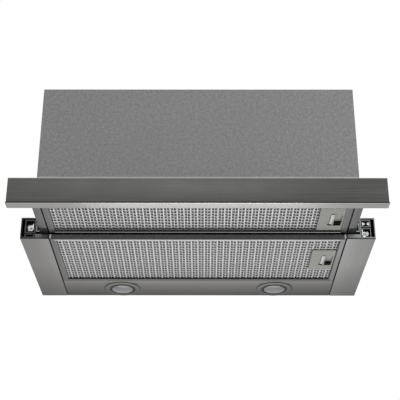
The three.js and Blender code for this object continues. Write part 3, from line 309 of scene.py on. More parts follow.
def rod_profile(radius: float, start: float, end: float, chamfer: float = 0.3) -> list[Range]:
    """The half outline of a round rod with broken edges, from axis to axis.

    Args:
        radius: the rod's radius.
        start: where it starts.
        end: where it ends.
        chamfer: width of its broken edges.

    Returns:
        Radius, height rows.
    """
    return [
        (0, start), (radius - chamfer, start), (radius, start + chamfer), (radius, end - chamfer),
        (radius - chamfer, end), (0, end),
    ]


def rim(outer: np.ndarray, inner: np.ndarray, profile: list[Range]) -> Surface:
    """A closed frame between two loops of as many points.

    A profile point (s, z) lies at outer + s (inner - outer), at height z.

    Args:
        outer: the outer loop's 2-D points.
        inner: the inner loop's 2-D points.
        profile: the frame's closed cross-section, s from 0 at the outer loop to 1 at the inner.

    Returns:
        The closed surface.
    """
    share = np.array([s for s, _ in profile])[:, None, None]
    height = np.array([z for _, z in profile])[:, None, None]
    flat = outer[None] + share * (inner - outer)[None]
    tall = np.broadcast_to(height, (*flat.shape[:2], 1))
    return loft(np.concatenate([flat, tall], axis=2), ring=True)


def slab(
    x: Range, y: Range, z: Range, corner: float = 1.0, edge: float = 0.4, steps: int = 4
) -> Surface:
    """A block with rounded upright corners and quarter-round edges above and below.

    Each level of the edge is the block's outline drawn in by edge (1 - cos a), edge (1 - sin a)
    from its end.

    Args:
        x: its left and right.
        y: its front and rear.
        z: its lower and upper face.
        corner: radius of its upright corners.
        edge: radius of its other edges.
        steps: steps to a corner.

    Returns:
        The closed surface.
    """
    a = np.linspace(0, np.pi / 2, 4)
    inset = edge * (1 - np.sin(a))
    lift = edge * (1 - np.cos(a))
    levels = [(i, z[0] + h) for i, h in zip(inset, lift)]
    levels += [(i, z[1] - h) for i, h in zip(inset[::-1], lift[::-1])]
    loops = []
    for inward, height in levels:
        inner_x, inner_y = (x[0] + inward, x[1] - inward), (y[0] + inward, y[1] - inward)
        outline = rounded_rectangle(inner_x, inner_y, max(corner - inward, 0.05), steps)
        loops.append(np.column_stack([outline, np.full(len(outline), height)]))
    return loft(np.array(loops))


def pressed(x: Range, y: Range, z: float, thickness: float, beads: list[tuple[float, ...]]) -> Surface:
    """A sheet with long beads pressed into it.

    A bead (x0, x1, y, height) lifts the sheet by height (1 - d^2)^2, where d is the distance from
    the line x0..x1 at y, over the bead's half width, held to 1.

    Args:
        x: the sheet's left and right.
        y: its front and rear.
        z: the level of its lower face.
        thickness: its thickness.
        beads: the beads.

    Returns:
        The closed sheet.
    """
    half = 9.0
    steps = np.linspace(-half, half, 9)
    xs = np.unique(np.concatenate([[*x], *[end + steps for bead in beads for end in bead[:2]]]))
    ys = np.unique(np.concatenate([[*y], *[bead[2] + steps for bead in beads]]))
    flat_x, flat_y = np.meshgrid(xs[(xs >= x[0]) & (xs <= x[1])], ys[(ys >= y[0]) & (ys <= y[1])])
    lift = np.zeros_like(flat_x)
    for start, end, middle, height in beads:
        away = np.hypot(flat_x - np.clip(flat_x, start, end), flat_y - middle) / half
        lift += height * (1 - np.clip(away, 0, 1) ** 2) ** 2
    lower = np.stack([flat_x, flat_y, z + lift], axis=-1)
    return between(lower, lower + np.array([0, 0, thickness]))


def carried(profile: np.ndarray, path: np.ndarray) -> Surface:
    """A closed profile carried along an open path with mitred corners.

    A profile point (n, z) lies n to the left of the path, at height z.

    Args:
        profile: n, z rows.
        path: the path's x, y rows.

    Returns:
        The closed surface.
    """
    flat = path[:, None, :] + profile[None, :, :1] * mitres(path)[:, None, :]
    height = np.broadcast_to(profile[None, :, 1:], (len(path), len(profile), 1))
    return loft(np.concatenate([flat, height], axis=2))


def wire(path: np.ndarray, radius: float, sides: int = 8) -> Surface:
    """A round wire along a path: each loop is centre + radius (cos a N + sin a B).

    N stands across the path's direction, as level as it can, and B across both.

    Args:
        path: the points of its middle line.
        radius: the wire's radius.
        sides: points to a loop.

    Returns:
        The closed surface.
    """
    tangent = np.gradient(path, axis=0)
    tangent /= np.linalg.norm(tangent, axis=1)[:, None]
    helper = np.where(np.abs(tangent[:, 2:]) < 0.9, [[0.0, 0.0, 1.0]], [[1.0, 0.0, 0.0]])
    normal = np.cross(tangent, helper)
    normal /= np.linalg.norm(normal, axis=1)[:, None]
    binormal = np.cross(tangent, normal)
    angle = np.linspace(0, 2 * np.pi, sides, endpoint=False)[None, :, None]
    around = np.cos(angle) * normal[:, None] + np.sin(angle) * binormal[:, None]
    return loft(path[:, None] + radius * around)


def screw_head(radius: float, height: float) -> Surface:
    """A cross-head screw's head with its rounded top at z = height and its flat base at z = 0.

    The top is height (1 - 0.45 r^2) less a cross-shaped hollow: 0.6 height where a point lies
    within a narrow band about either axis and near the middle.

    Args:
        radius: the head's radius.
        height: its height.

    Returns:
        The closed surface.
    """
    share = np.linspace(0, 1, 13)[None, :]
    angle = np.linspace(0, 2 * np.pi, 48, endpoint=False)[:, None]
    x, y = share * np.cos(angle), share * np.sin(angle)
    band = np.minimum(np.abs(x), np.abs(y))
    reach = np.maximum(np.abs(x), np.abs(y))
    hollow = np.clip((0.17 - band) / 0.06, 0, 1) * np.clip((0.62 - reach) / 0.08, 0, 1)
    z = height * (1 - 0.45 * share**2 - 0.6 * hollow)
    top = np.stack([radius * x, radius * y, z], axis=-1)
    skirt = top[:, -1:] * np.array([1, 1, 0])
    centre = skirt * 0
    return grid(np.concatenate([top, skirt, centre], axis=1), close_rows=True)


# ---------------------------------------------------------------- materials


def linear(colour: tuple[int, int, int], gain: float = 1.0) -> tuple[float, float, float, float]:
    """A colour written as 0 to 255 screen values, as the linear values that a shader takes.

    Args:
        colour: red, green and blue, 0 to 255.
        gain: a factor on the linear values.

    Returns:
        Red, green, blue and an alpha of 1.
    """
    c = np.array(colour, float) / 255
    value = np.where(c <= 0.04045, c / 12.92, ((c + 0.055) / 1.055) ** 2.4) * gain
    return (*[float(min(v, 1.0)) for v in value], 1.0)


Socket = bpy.types.NodeSocket


@dataclass
class Tree:
    """A node tree, with short calls that add and join its nodes."""

    tree: bpy.types.NodeTree  # the node tree

    def add(self, kind: str, **settings: object) -> bpy.types.Node:
        """A new node of this kind with these settings.

        Args:
            kind: the node's type.
            settings: its settings.

        Returns:
            The node.
        """
        node = self.tree.nodes.new(kind)
        for name, value in settings.items():
            setattr(node, name, value)
        return node

    def put(self, value: object, socket: Socket) -> None:
        """Joins a socket to an input, or gives the input a plain value.

        Args:
            value: the socket to join, or the number or colour to give.
            socket: the input.
        """
        if isinstance(value, Socket):
            self.tree.links.new(value, socket)
        else:
            socket.default_value = value

    def feed(self, node: bpy.types.Node, **values: object) -> None:
        """Gives the node's inputs, named with _ for a space, a number, a colour or a socket."""
        for name, value in values.items():
            self.put(value, node.inputs[name.replace("_", " ")])

    def calculate(self, operation: str, *values: object) -> Socket:
        """The result of a Math node on numbers or sockets.

        Args:
            operation: the operation's name.
            values: its inputs.

        Returns:
            The result's socket.
        """
        node = self.add("ShaderNodeMath", operation=operation)
        for socket, value in zip(node.inputs, values):
            self.put(value, socket)
        return node.outputs[0]

    def ranged(self, value: object, low: float, high: float, to: Range = (0.0, 1.0)) -> Socket:
        """A value taken from low..high to the range given, and held inside it.

        Args:
            value: the number or socket.
            low: the value's low end.
            high: its high end.
            to: what they become.

        Returns:
            The result's socket.
        """
        node = self.add("ShaderNodeMapRange")
        self.feed(node, Value=value, From_Min=low, From_Max=high, To_Min=to[0], To_Max=to[1])
        return node.outputs["Result"]

    def mixed(self, share: object, a: object, b: object) -> Socket:
        """A colour between a and b.

        Args:
            share: 0 for a and 1 for b.
            a: a colour or socket.
            b: a colour or socket.

        Returns:
            The colour's socket.
        """
        node = self.add("ShaderNodeMix", data_type="RGBA")
        for place, value in ((0, share), (6, a), (7, b)):
            self.put(value, node.inputs[place])
        return node.outputs[2]

    def noise(self, vector: Socket, scale: float, detail: float, rough: float) -> Socket:
        """Noise from 0 to 1 round the vector.

        Args:
            vector: the point's socket.
            scale: grains to a unit.
            detail: its octaves.
            rough: weight of each octave.

        Returns:
            The value's socket.
        """
        node = self.add("ShaderNodeTexNoise")
        self.feed(node, Vector=vector, Scale=scale, Detail=detail, Roughness=rough)
        return node.outputs["Fac"]

    def summed(self, a: object, b: object, share: float) -> Socket:
        """The sum of a's share and b's rest, a share + b (1 - share)."""
        parts = self.calculate("MULTIPLY", a, share), self.calculate("MULTIPLY", b, 1 - share)
        return self.calculate("ADD", *parts)

    def seen(self) -> Socket:
        """1 for a ray of the camera, metal or glass, and 0 for the rest.

        Returns:
            The value's socket.
        """
        path = self.add("ShaderNodeLightPath")
        glossy = self.calculate("MAXIMUM", path.outputs["Is Camera Ray"], path.outputs["Is Glossy Ray"])
        return self.calculate("MAXIMUM", glossy, path.outputs["Is Transmission Ray"])


class Effect(Enum):
    """The patterns that finishes share; the last is the soft wide marks of wiping and handling."""

    BRUSHING = "brushing"
    SPECKLE = "speckle"
    MOULDING = "moulding"
    SPANGLE = "spangle"
    HANDLING = "handling"


def new_group(name: str) -> tuple[Tree, Socket, Socket]:
    """A shader group with Vector and Stretch inputs and a Value output.

    Args:
        name: the group's name.

    Returns:
        The group's tree, the product of its two inputs, and its output's socket.
    """
    group = bpy.data.node_groups.new(name, "ShaderNodeTree")
    group.interface.new_socket("Vector", in_out="INPUT", socket_type="NodeSocketVector")
    group.interface.new_socket("Stretch", in_out="INPUT", socket_type="NodeSocketVector")
    group.interface.new_socket("Value", in_out="OUTPUT", socket_type="NodeSocketFloat")
    tree = Tree(group)
    start, scaled = tree.add("NodeGroupInput"), tree.add("ShaderNodeVectorMath", operation="MULTIPLY")
    tree.put(start.outputs["Vector"], scaled.inputs[0])
    tree.put(start.outputs["Stretch"], scaled.inputs[1])
    return tree, scaled.outputs[0], tree.add("NodeGroupOutput").inputs["Value"]


def effect_group(effect: Effect) -> bpy.types.NodeTree:
    """The shader group of an effect, built at its first use.

    Each takes the point, in metres, times Stretch, in grains per metre, and puts out a value from
    0 to 1 that varies round 0.5.

    Args:
        effect: which pattern.

    Returns:
        The group.
    """
    if effect.value in bpy.data.node_groups:
        return bpy.data.node_groups[effect.value]
    tree, point, end = new_group(effect.value)
    if effect is Effect.BRUSHING:
        coarse = tree.noise(point, 0.35, 3.0, 0.6)
        fine = tree.noise(point, 1.0, 4.0, 0.75)
        value = tree.ranged(tree.summed(coarse, fine, 0.4), 0.32, 0.68)
    elif effect is Effect.SPECKLE:
        fine = tree.noise(point, 1.0, 2.0, 0.6)
        coarse = tree.noise(point, 0.45, 1.0, 0.5)
        value = tree.ranged(tree.summed(fine, coarse, 0.65), 0.33, 0.67)
    elif effect is Effect.MOULDING:
        cells = tree.add("ShaderNodeTexVoronoi", feature="SMOOTH_F1")
        tree.feed(cells, Vector=point, Scale=1.0)
        value = tree.ranged(cells.outputs["Distance"], 0.0, 0.9)
    elif effect is Effect.HANDLING:
        value = tree.ranged(tree.noise(point, 1.0, 3.0, 0.55), 0.3, 0.7)
    else:
        cells = tree.add("ShaderNodeTexVoronoi")
        warp = tree.add("ShaderNodeTexNoise")
        tree.feed(warp, Vector=point, Scale=0.8, Detail=2.0)
        bent = tree.add("ShaderNodeVectorMath", operation="ADD")
        tree.put(point, bent.inputs[0])
        tree.put(warp.outputs["Color"], bent.inputs[1])
        tree.feed(cells, Vector=bent.outputs[0], Scale=1.0)
        split = tree.add("ShaderNodeSeparateColor")
        tree.put(cells.outputs["Color"], split.inputs[0])
        value = split.outputs[0]
    tree.put(value, end)
    return tree.tree


@dataclass(frozen=True)
class Finish:
    """One finish of the hood."""

    name: str  # the material's name
    slot: str  # the record's slot it belongs to
    colour: tuple[int, int, int]  # its colour as screen values
    metallic: float  # 1 for bare metal
    roughness: float  # the middle of its roughness
    effect: Effect  # the pattern on it
    stretch: tuple[float, float, float]  # the pattern's grains per metre along x, y and z
    contrast: float = 0.06  # how much the pattern lightens and darkens the colour
    spread: float = 0.06  # how much the pattern changes the roughness
    relief: float = 0.01  # the pattern's depth in millimetres
    marks: float = 0.05  # how much handling changes the roughness and colour
    coat: float = 0.0  # weight of a clear coat
    # From the first y to the second, in millimetres, the colour falls by the third's share: painted shade,
    # darker towards the rear.
    fade: tuple[float, float, float] = (0.0, 1.0, 0.0)
    edge: float = 1.0  # how much of a metal's white sheen at a flat angle is kept

    def material(self) -> bpy.types.Material:
        """The material, built at its first use.

        Returns:
            The material.
        """
        name = f"{self.name}_finish"
        if name in bpy.data.materials:
            return bpy.data.materials[name]
        material = bpy.data.materials.new(name)
        material.use_nodes = True
        tree = Tree(material.node_tree)
        shader = material.node_tree.nodes["Principled BSDF"]
        where = tree.add("ShaderNodeTexCoord").outputs["Object"]
        pattern = tree.add("ShaderNodeGroup", node_tree=effect_group(self.effect))
        tree.feed(pattern, Vector=where, Stretch=self.stretch)
        marks = tree.add("ShaderNodeGroup", node_tree=effect_group(Effect.HANDLING))
        tree.feed(marks, Vector=where, Stretch=(9.0, 11.0, 13.0))
        value, wiped = pattern.outputs["Value"], marks.outputs["Value"]
        dark = linear(self.colour, 1 - self.contrast)
        light = linear(self.colour, 1 + self.contrast)
        colour = tree.mixed(value, dark, light)
        worn = tree.mixed(wiped, linear(self.colour, 1 - self.marks), linear(self.colour, 1 + self.marks))
        colour = tree.mixed(0.35, colour, worn)
        # Painted shade: the colour falls along y as fade sets.
        start, end, loss = self.fade
        if loss:
            place = tree.add("ShaderNodeSeparateXYZ")
            tree.feed(place, Vector=where)
            share = tree.ranged(place.outputs["Y"], start / MM, end / MM)
            colour = tree.mixed(share, colour, linear(self.colour, 1 - loss))
        reach = (self.roughness - self.spread, self.roughness + self.spread)
        rough = tree.ranged(value, 0.0, 1.0, reach)
        rough = tree.calculate("ADD", rough, tree.ranged(wiped, 0.0, 1.0, (-self.marks, self.marks)))
        bump = tree.add("ShaderNodeBump")
        tree.feed(bump, Strength=1.0, Distance=self.relief / MM, Height=value)
        tint = (self.edge, self.edge, self.edge, 1)
        tree.feed(shader, Base_Color=colour, Roughness=rough, Metallic=self.metallic)
        tree.feed(shader, Normal=bump.outputs["Normal"], Coat_Weight=self.coat, Specular_Tint=tint)
        return material


def even(grains: float) -> tuple[float, float, float]:
    """The same number of grains per metre along x, y and z."""
    return (grains, grains, grains)


# Grains per metre of brushing along x, of brushing along y, and of drawn aluminium along x.
ALONG_X = (9.0, 1500.0, 1500.0)
ALONG_Y = (900.0, 9.0, 900.0)
DRAWN = (40.0, 700.0, 700.0)

# After its pattern and grains, a finish gives its contrast, spread and relief.
BAR_STEEL = Finish(
    "bar_steel", "brushed_steel", (76, 76, 75), 1.0, 0.31, Effect.BRUSHING, ALONG_X, 0.5, 0.08, 0.004
)
# A lit copy of the bar's steel: its underside and top fold are painted lighter, as light and highlight.
BAR_LIT_STEEL = Finish(
    "bar_steel_painted_light", "brushed_steel", (158, 157, 155), 1.0, 0.22, Effect.BRUSHING, ALONG_X, 0.08, 0.05, 0.003
)
# A still lighter copy: a painted highlight along the front edge of the bar's underside.
BAR_HIGHLIGHT = replace(BAR_LIT_STEEL, name="bar_steel_painted_highlight", colour=(188, 187, 185))
# The blocks' steel, painted darker towards the rear as shade.
BASE_STEEL_REAR_SHADED = Finish(
    "base_steel_rear_shaded", "brushed_steel", (155, 154, 152), 1.0, 0.34, Effect.BRUSHING, ALONG_Y, 0.16, 0.06, 0.003,
    fade=(110.0, 267.0, 0.45), edge=0.5,
)
# The right block's copy of the same steel, painted lighter as light falling on that side.
BASE_STEEL_LIT_RIGHT = replace(BASE_STEEL_REAR_SHADED, name="base_steel_painted_light_right", colour=(167, 167, 166))
# The lamp panel's and rings' steel, painted darker towards the rear as shade.
LAMP_STEEL_REAR_SHADED = replace(
    BASE_STEEL_REAR_SHADED, name="lamp_steel_rear_shaded", colour=(144, 143, 140), roughness=0.42, stretch=(9.0, 1100.0, 1100.0),
    fade=(191.0, 264.0, 0.6),
)
BODY_PAINT = Finish(
    "body_paint", "grey_paint", (128, 128, 128), 0.2, 0.5, Effect.SPECKLE, even(430.0), 0.6, 0.08, 0.03
)
# A lighter copy of the body paint, a painted highlight on the cover's lower edge.
HEM_HIGHLIGHT = Finish(
    "hem_painted_highlight", "grey_paint", (176, 176, 177), 0.3, 0.4, Effect.SPECKLE, even(430.0), 0.3, 0.06, 0.01
)
TRAY_PAINT = Finish(
    "tray_paint", "grey_paint", (126, 127, 127), 0.2, 0.5, Effect.SPECKLE, even(700.0), 0.14, 0.06, 0.015
)
ZINC = Finish(
    "zinc_plate", "zinc_steel", (160, 162, 163), 0.9, 0.42, Effect.SPANGLE, even(160.0), 0.12, 0.1, 0.004
)
# Dark steel of the carriers and clamps; also painted shade along the lamp panel's rear, the ring's outer edge
# and the rear filter's edges.
DARK_STEEL_AND_SHADE = Finish(
    "dark_steel", "dark_steel", (58, 58, 59), 0.4, 0.5, Effect.SPECKLE, even(900.0), 0.1, 0.05, 0.01
)
# Painted shade: near black, for grooves, gaps, hollows and cell insides where only shade falls.
PAINTED_SHADE = replace(
    DARK_STEEL_AND_SHADE, name="painted_shade_black", colour=(14, 14, 14), metallic=0.0, roughness=0.7, relief=0.005
)
# The runners' own paint; also a shaded copy painted on the left end cells, whose moulding is the same as the
# right's.
RUNNER_PAINT_AND_SHADE = Finish(
    "runner_paint", "runner_steel", (108, 108, 109), 0.5, 0.42, Effect.BRUSHING, (600.0, 9.0, 600.0),
    0.06, 0.05, 0.004,
)
# The face mesh, painted darker towards the rear as shade.
MESH_ALUMINIUM_REAR_SHADED = Finish(
    "mesh_aluminium", "mesh_aluminium", (214, 214, 215), 0.8, 0.38, Effect.SPECKLE, even(900.0), 0.12,
    0.08, 0.01, fade=(95.0, 187.0, 0.2),
)
# The front filter's copy, painted lighter and falling nearly to black at its rear as the base's shadow.
TRAY_MESH_SHADED = replace(MESH_ALUMINIUM_REAR_SHADED, name="tray_mesh_painted_shade", colour=(222, 222, 222), fade=(-24.0, -3.0, 0.93))
# The inner mesh, aluminium painted near black as the shade inside the filter.
CORE_IN_SHADE = Finish(
    "core_painted_shade", "mesh_aluminium", (36, 36, 36), 0.75, 0.45, Effect.SPECKLE, even(900.0), 0.1, 0.08, 0.01
)
# The frames' aluminium, painted darker towards the rear as shade.
FRAME_ALUMINIUM_REAR_SHADED = Finish(
    "frame_aluminium", "frame_aluminium", (132, 132, 132), 0.85, 0.4, Effect.BRUSHING, DRAWN, 0.05,
    0.05, 0.004, fade=(130.0, 188.0, 0.14), edge=0.5,
)
# A lighter copy of the frame aluminium, painted light: the rear filter's front strip and a highlight line on
# the lamp panel.
FRAME_LIT = Finish(
    "frame_painted_light", "frame_aluminium", (138, 138, 139), 0.85, 0.4, Effect.BRUSHING, DRAWN, 0.05,
    0.05, 0.004, edge=0.7,
)
# A lighter copy for the rear filter's right strip, painted light, and darker towards the rear as shade.
FRAME_SIDE_LIT = replace(FRAME_LIT, name="frame_side_painted_light", colour=(158, 158, 159), fade=(50.0, 188.0, 0.3))
# A copy for the frames' front walls, painted as those walls in shade.
FRAME_SHADED = replace(
    FRAME_LIT, name="frame_painted_shade", colour=(128, 128, 128), metallic=0.9, roughness=0.5, edge=1.0
)
BLACK_PLASTIC = Finish(
    "black_plastic", "black_plastic", (20, 20, 21), 0.0, 0.55, Effect.MOULDING, even(1400.0), 0.12, 0.05, 0.02
)
# Dark plastic of flaps and wheel; also painted shade on the left end cells' rim and a latch window's inner
# wall.
DARK_PLASTIC_AND_SHADE = Finish(
    "dark_plastic", "dark_plastic", (38, 38, 39), 0.0, 0.55, Effect.MOULDING, even(1400.0), 0.1, 0.05, 0.02
)
GREY_PLASTIC = Finish(
    "grey_plastic", "grey_plastic", (150, 151, 152), 0.0, 0.48, Effect.MOULDING, even(1400.0), 0.05,
    0.05, 0.015,
)
LATCH_PLASTIC = Finish(
    "latch_plastic", "latch_plastic", (174, 175, 168), 0.0, 0.5, Effect.MOULDING, even(1500.0), 0.04,
    0.04, 0.015,
)
# A lighter copy of the latch plastic, a painted highlight on the latch lips and the rear frame's front tabs.
LIP_HIGHLIGHT = replace(LATCH_PLASTIC, name="lip_painted_highlight", colour=(240, 240, 238), roughness=0.4, relief=0.01)
LENS_PLASTIC = Finish(
    "lens_plastic", "frosted_lens", (101, 103, 106), 0.0, 0.32, Effect.MOULDING, even(2000.0), 0.04,
    0.05, 0.01, coat=0.4,
)
# Bright steel of screws, pins and coils; also a painted highlight on the front filter's rear frame strip.
BRIGHT_STEEL_AND_HIGHLIGHT = Finish(
    "bright_steel", "bright_steel", (214, 215, 216), 1.0, 0.2, Effect.BRUSHING, even(500.0), 0.08, 0.05, 0.003
)


# ---------------------------------------------------------------- pieces


def piece(
    name: str, surface: Surface, finish: Finish, body: str, replaces: str = "", bevel: float = 0.0,
    angle: float = 32.0,
) -> bpy.types.Object:
    """Makes a finished object of a shape.

    Args:
        name: the object's name.
        surface: its shape, in millimetres.
        finish: its finish.
        body: the CAD body it moves with.
        replaces: the CAD node that it stands for.
        bevel: width of the rounding of its sharp edges, in millimetres.
        angle: edges sharper than this, in degrees, are shaded sharp.

    Returns:
        The object.
    """
    mesh = bpy.data.meshes.new(name)
    mesh.from_pydata((surface.points / MM).tolist(), [], surface.faces)
    work = bmesh.new()
    work.from_mesh(mesh)
    bmesh.ops.remove_doubles(work, verts=work.verts, dist=WELD)
    bmesh.ops.recalc_face_normals(work, faces=work.faces)
    work.to_mesh(mesh)
    work.free()
    mesh.polygons.foreach_set("use_smooth", np.ones(len(mesh.polygons), bool))
    mesh.set_sharp_from_angle(angle=math.radians(angle))
    mesh.materials.append(finish.material())
    made = bpy.data.objects.new(name, mesh)
    bpy.context.scene.collection.objects.link(made)
    if bevel:
        add_bevel(made, bevel)
    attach(made, body)
    if replaces:
        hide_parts(replaces)
    log.info("%s: %d faces on %s", name, len(mesh.polygons), body)
    return made


def tone(made: bpy.types.Object, finish: Finish, about: np.ndarray | None = None, **ranges: Range) -> None:
    """Gives a second finish to the faces of an object that lie between limits.

    Args:
        made: the object.
        finish: the second finish.
        about: a point of the upright axis that `away` is measured from, in place of x = 0.
        ranges: the low and high, exclusive, of a face centre's x, y or z in millimetres, of its
            distance `away` from the axis, or of its normal's nx, ny or nz.
    """
    faces = made.data.polygons
    values = np.empty((2, len(faces) * 3))
    faces.foreach_get("center", values[0])
    faces.foreach_get("normal", values[1])
    centres, normals = values[0].reshape(-1, 3) * MM, values[1].reshape(-1, 3)
    off = np.abs(centres[:, 0]) if about is None else np.hypot(*(centres[:, :2] - about[:2]).T)
    found = dict(zip(("x", "y", "z", "nx", "ny", "nz", "away"), [*centres.T, *normals.T, off]))
    tests = [(found[key] > low) & (found[key] < high) for key, (low, high) in ranges.items()]
    mask = np.logical_and.reduce(tests)
    index = np.zeros(len(faces), np.int32)
    faces.foreach_get("material_index", index)
    index[mask] = len(made.data.materials)
    made.data.materials.append(finish.material())
    faces.foreach_set("material_index", index)
    log.info("%s: %d faces with %s", made.name, int(mask.sum()), finish.name)


def add_bevel(made: bpy.types.Object, width: float) -> None:
    """Rounds an object's sharp edges by a width in millimetres.

    Args:
        made: the object.
        width: the rounding's width.
    """
    edge = made.modifiers.new("rounded edges", "BEVEL")
    edge.width = width / MM
    edge.segments = 2
    edge.limit_method = "ANGLE"
    edge.angle_limit = math.radians(40)
    edge.harden_normals = True


def dress(node: str, finish: Finish, bevel: float = 0.0) -> None:
    """Gives a CAD node that stays in view its finish and its rounded edges.

    Args:
        node: the node's name.
        finish: its finish.
        bevel: width of its rounded edges, in millimetres.
    """
    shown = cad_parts[node]
    shown.data.materials.clear()
    shown.data.materials.append(finish.material())
    if bevel:
        weld = shown.modifiers.new("joined faces", "WELD")
        weld.merge_threshold = 1e-6
        add_bevel(shown, bevel)
    log.info("%s: CAD node with %s", node, finish.name)


def span(node: str) -> tuple[np.ndarray, np.ndarray]:
    """The lowest and highest corners of a CAD node at rest, in millimetres."""
    low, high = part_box(node)
    return np.array(low) * MM, np.array(high) * MM


def centre_of(node: str) -> np.ndarray:
    """The middle of a CAD node's box at rest, in millimetres."""
    low, high = span(node)
    return (low + high) / 2


def upright(profile: list[Range], node: str, sides: int = 96) -> Surface:
    """A closed profile of radius, height rows turned about the upright middle of a CAD node."""
    return revolved(profile, sides).moved(*centre_of(node)[:2])


@dataclass
class Body:
    """The grey body that stands inside the cabinet: cover, lower housing, top and back."""

    sheet: float = 1.0  # thickness of the sheet
    hem: float = 4.0  # width of the cover's foot
    flange: float = 20.0  # width of the housing's foot
    hem_edge: float = 1.5  # height of the cover's lower edge, painted lighter as a highlight
    bead: float = 1.5  # depth of the back's beads
    screw_radius: float = 3.6  # radius of the screws' heads

    def wrapped(self, node: str, foot: float) -> Surface:
        """A U of sheet with a foot turned in along its lower edge, in the place of a CAD node.

        Args:
            node: the CAD node.
            foot: width of the foot.

        Returns:
            The closed surface.
        """
        low, high = span(node)
        t = self.sheet
        profile = [
            (0.0, low[2] + self.hem_edge), (0.0, low[2]), (foot, low[2]), (foot, low[2] + t),
            (t, low[2] + t), (t, high[2]), (0.0, high[2]),
        ]
        path = [(low[0], high[1]), (low[0], low[1]), (high[0], low[1]), (high[0], high[1])]
        return carried(np.array(profile), np.array(path))

    def fasteners(self) -> Surface:
        """Screw heads along the cover's rear edges and on the top panel's rim.

        Returns:
            The heads.
        """
        low, high = span("upper_cover")
        head = screw_head(self.screw_radius, 1.6)
        heads = []
        for side, _ in SIDES:
            for height in (low[2] + 22, (low[2] + high[2]) / 2, high[2] - 22):
                turned = head.turned("Y", 90 * side)
                heads.append(turned.moved(side * (high[0] + 0.05), high[1] - 10, height))
        top = span("top_panel")[1][2] + 0.05
        for x in (-250, -120, 120, 250):
            heads += [head.moved(x, y, top) for y in (low[1] + 12, high[1] - 12)]
        return merged(heads)

    def back(self) -> Surface:
        """The back panel with its pressed beads, drawn flat and stood up.

        Returns:
            The closed surface.
        """
        low, high = span("back_panel")
        beads = [(-205.0, 205.0, height, -self.bead) for height in (low[2] + 60, high[2] - 60)]
        beads += [(x - 40, x + 40, (low[2] + high[2]) / 2, -self.bead) for x in (-170.0, 0.0, 170.0)]
        flat = pressed((low[0], high[0]), (low[2], high[2]), 0.0, high[1] - low[1], beads)
        return flat.laid(Axis.Y).moved(y=low[1])

    def build(self) -> None:
        """Makes the body's pieces."""
        wrapped = self.wrapped("upper_cover", self.hem)
        cover = piece("body_cover", wrapped, BODY_PAINT, "hood", "upper_cover", 0.3)
        edge = span("upper_cover")[0][2] + self.hem_edge
        # The cover's lower edge is painted lighter as a highlight.
        tone(cover, HEM_HIGHLIGHT, z=(-END, edge), nz=(-0.5, 0.5))
        housing = self.wrapped("lower_housing", self.flange)
        piece("body_housing", housing, BODY_PAINT, "hood", "lower_housing", 0.45)
        piece("body_screws", self.fasteners(), BRIGHT_STEEL_AND_HIGHLIGHT, "hood")
        dress("top_panel", BODY_PAINT, 0.3)
        piece("body_back", self.back(), BODY_PAINT, "hood", "back_panel", 0.3)


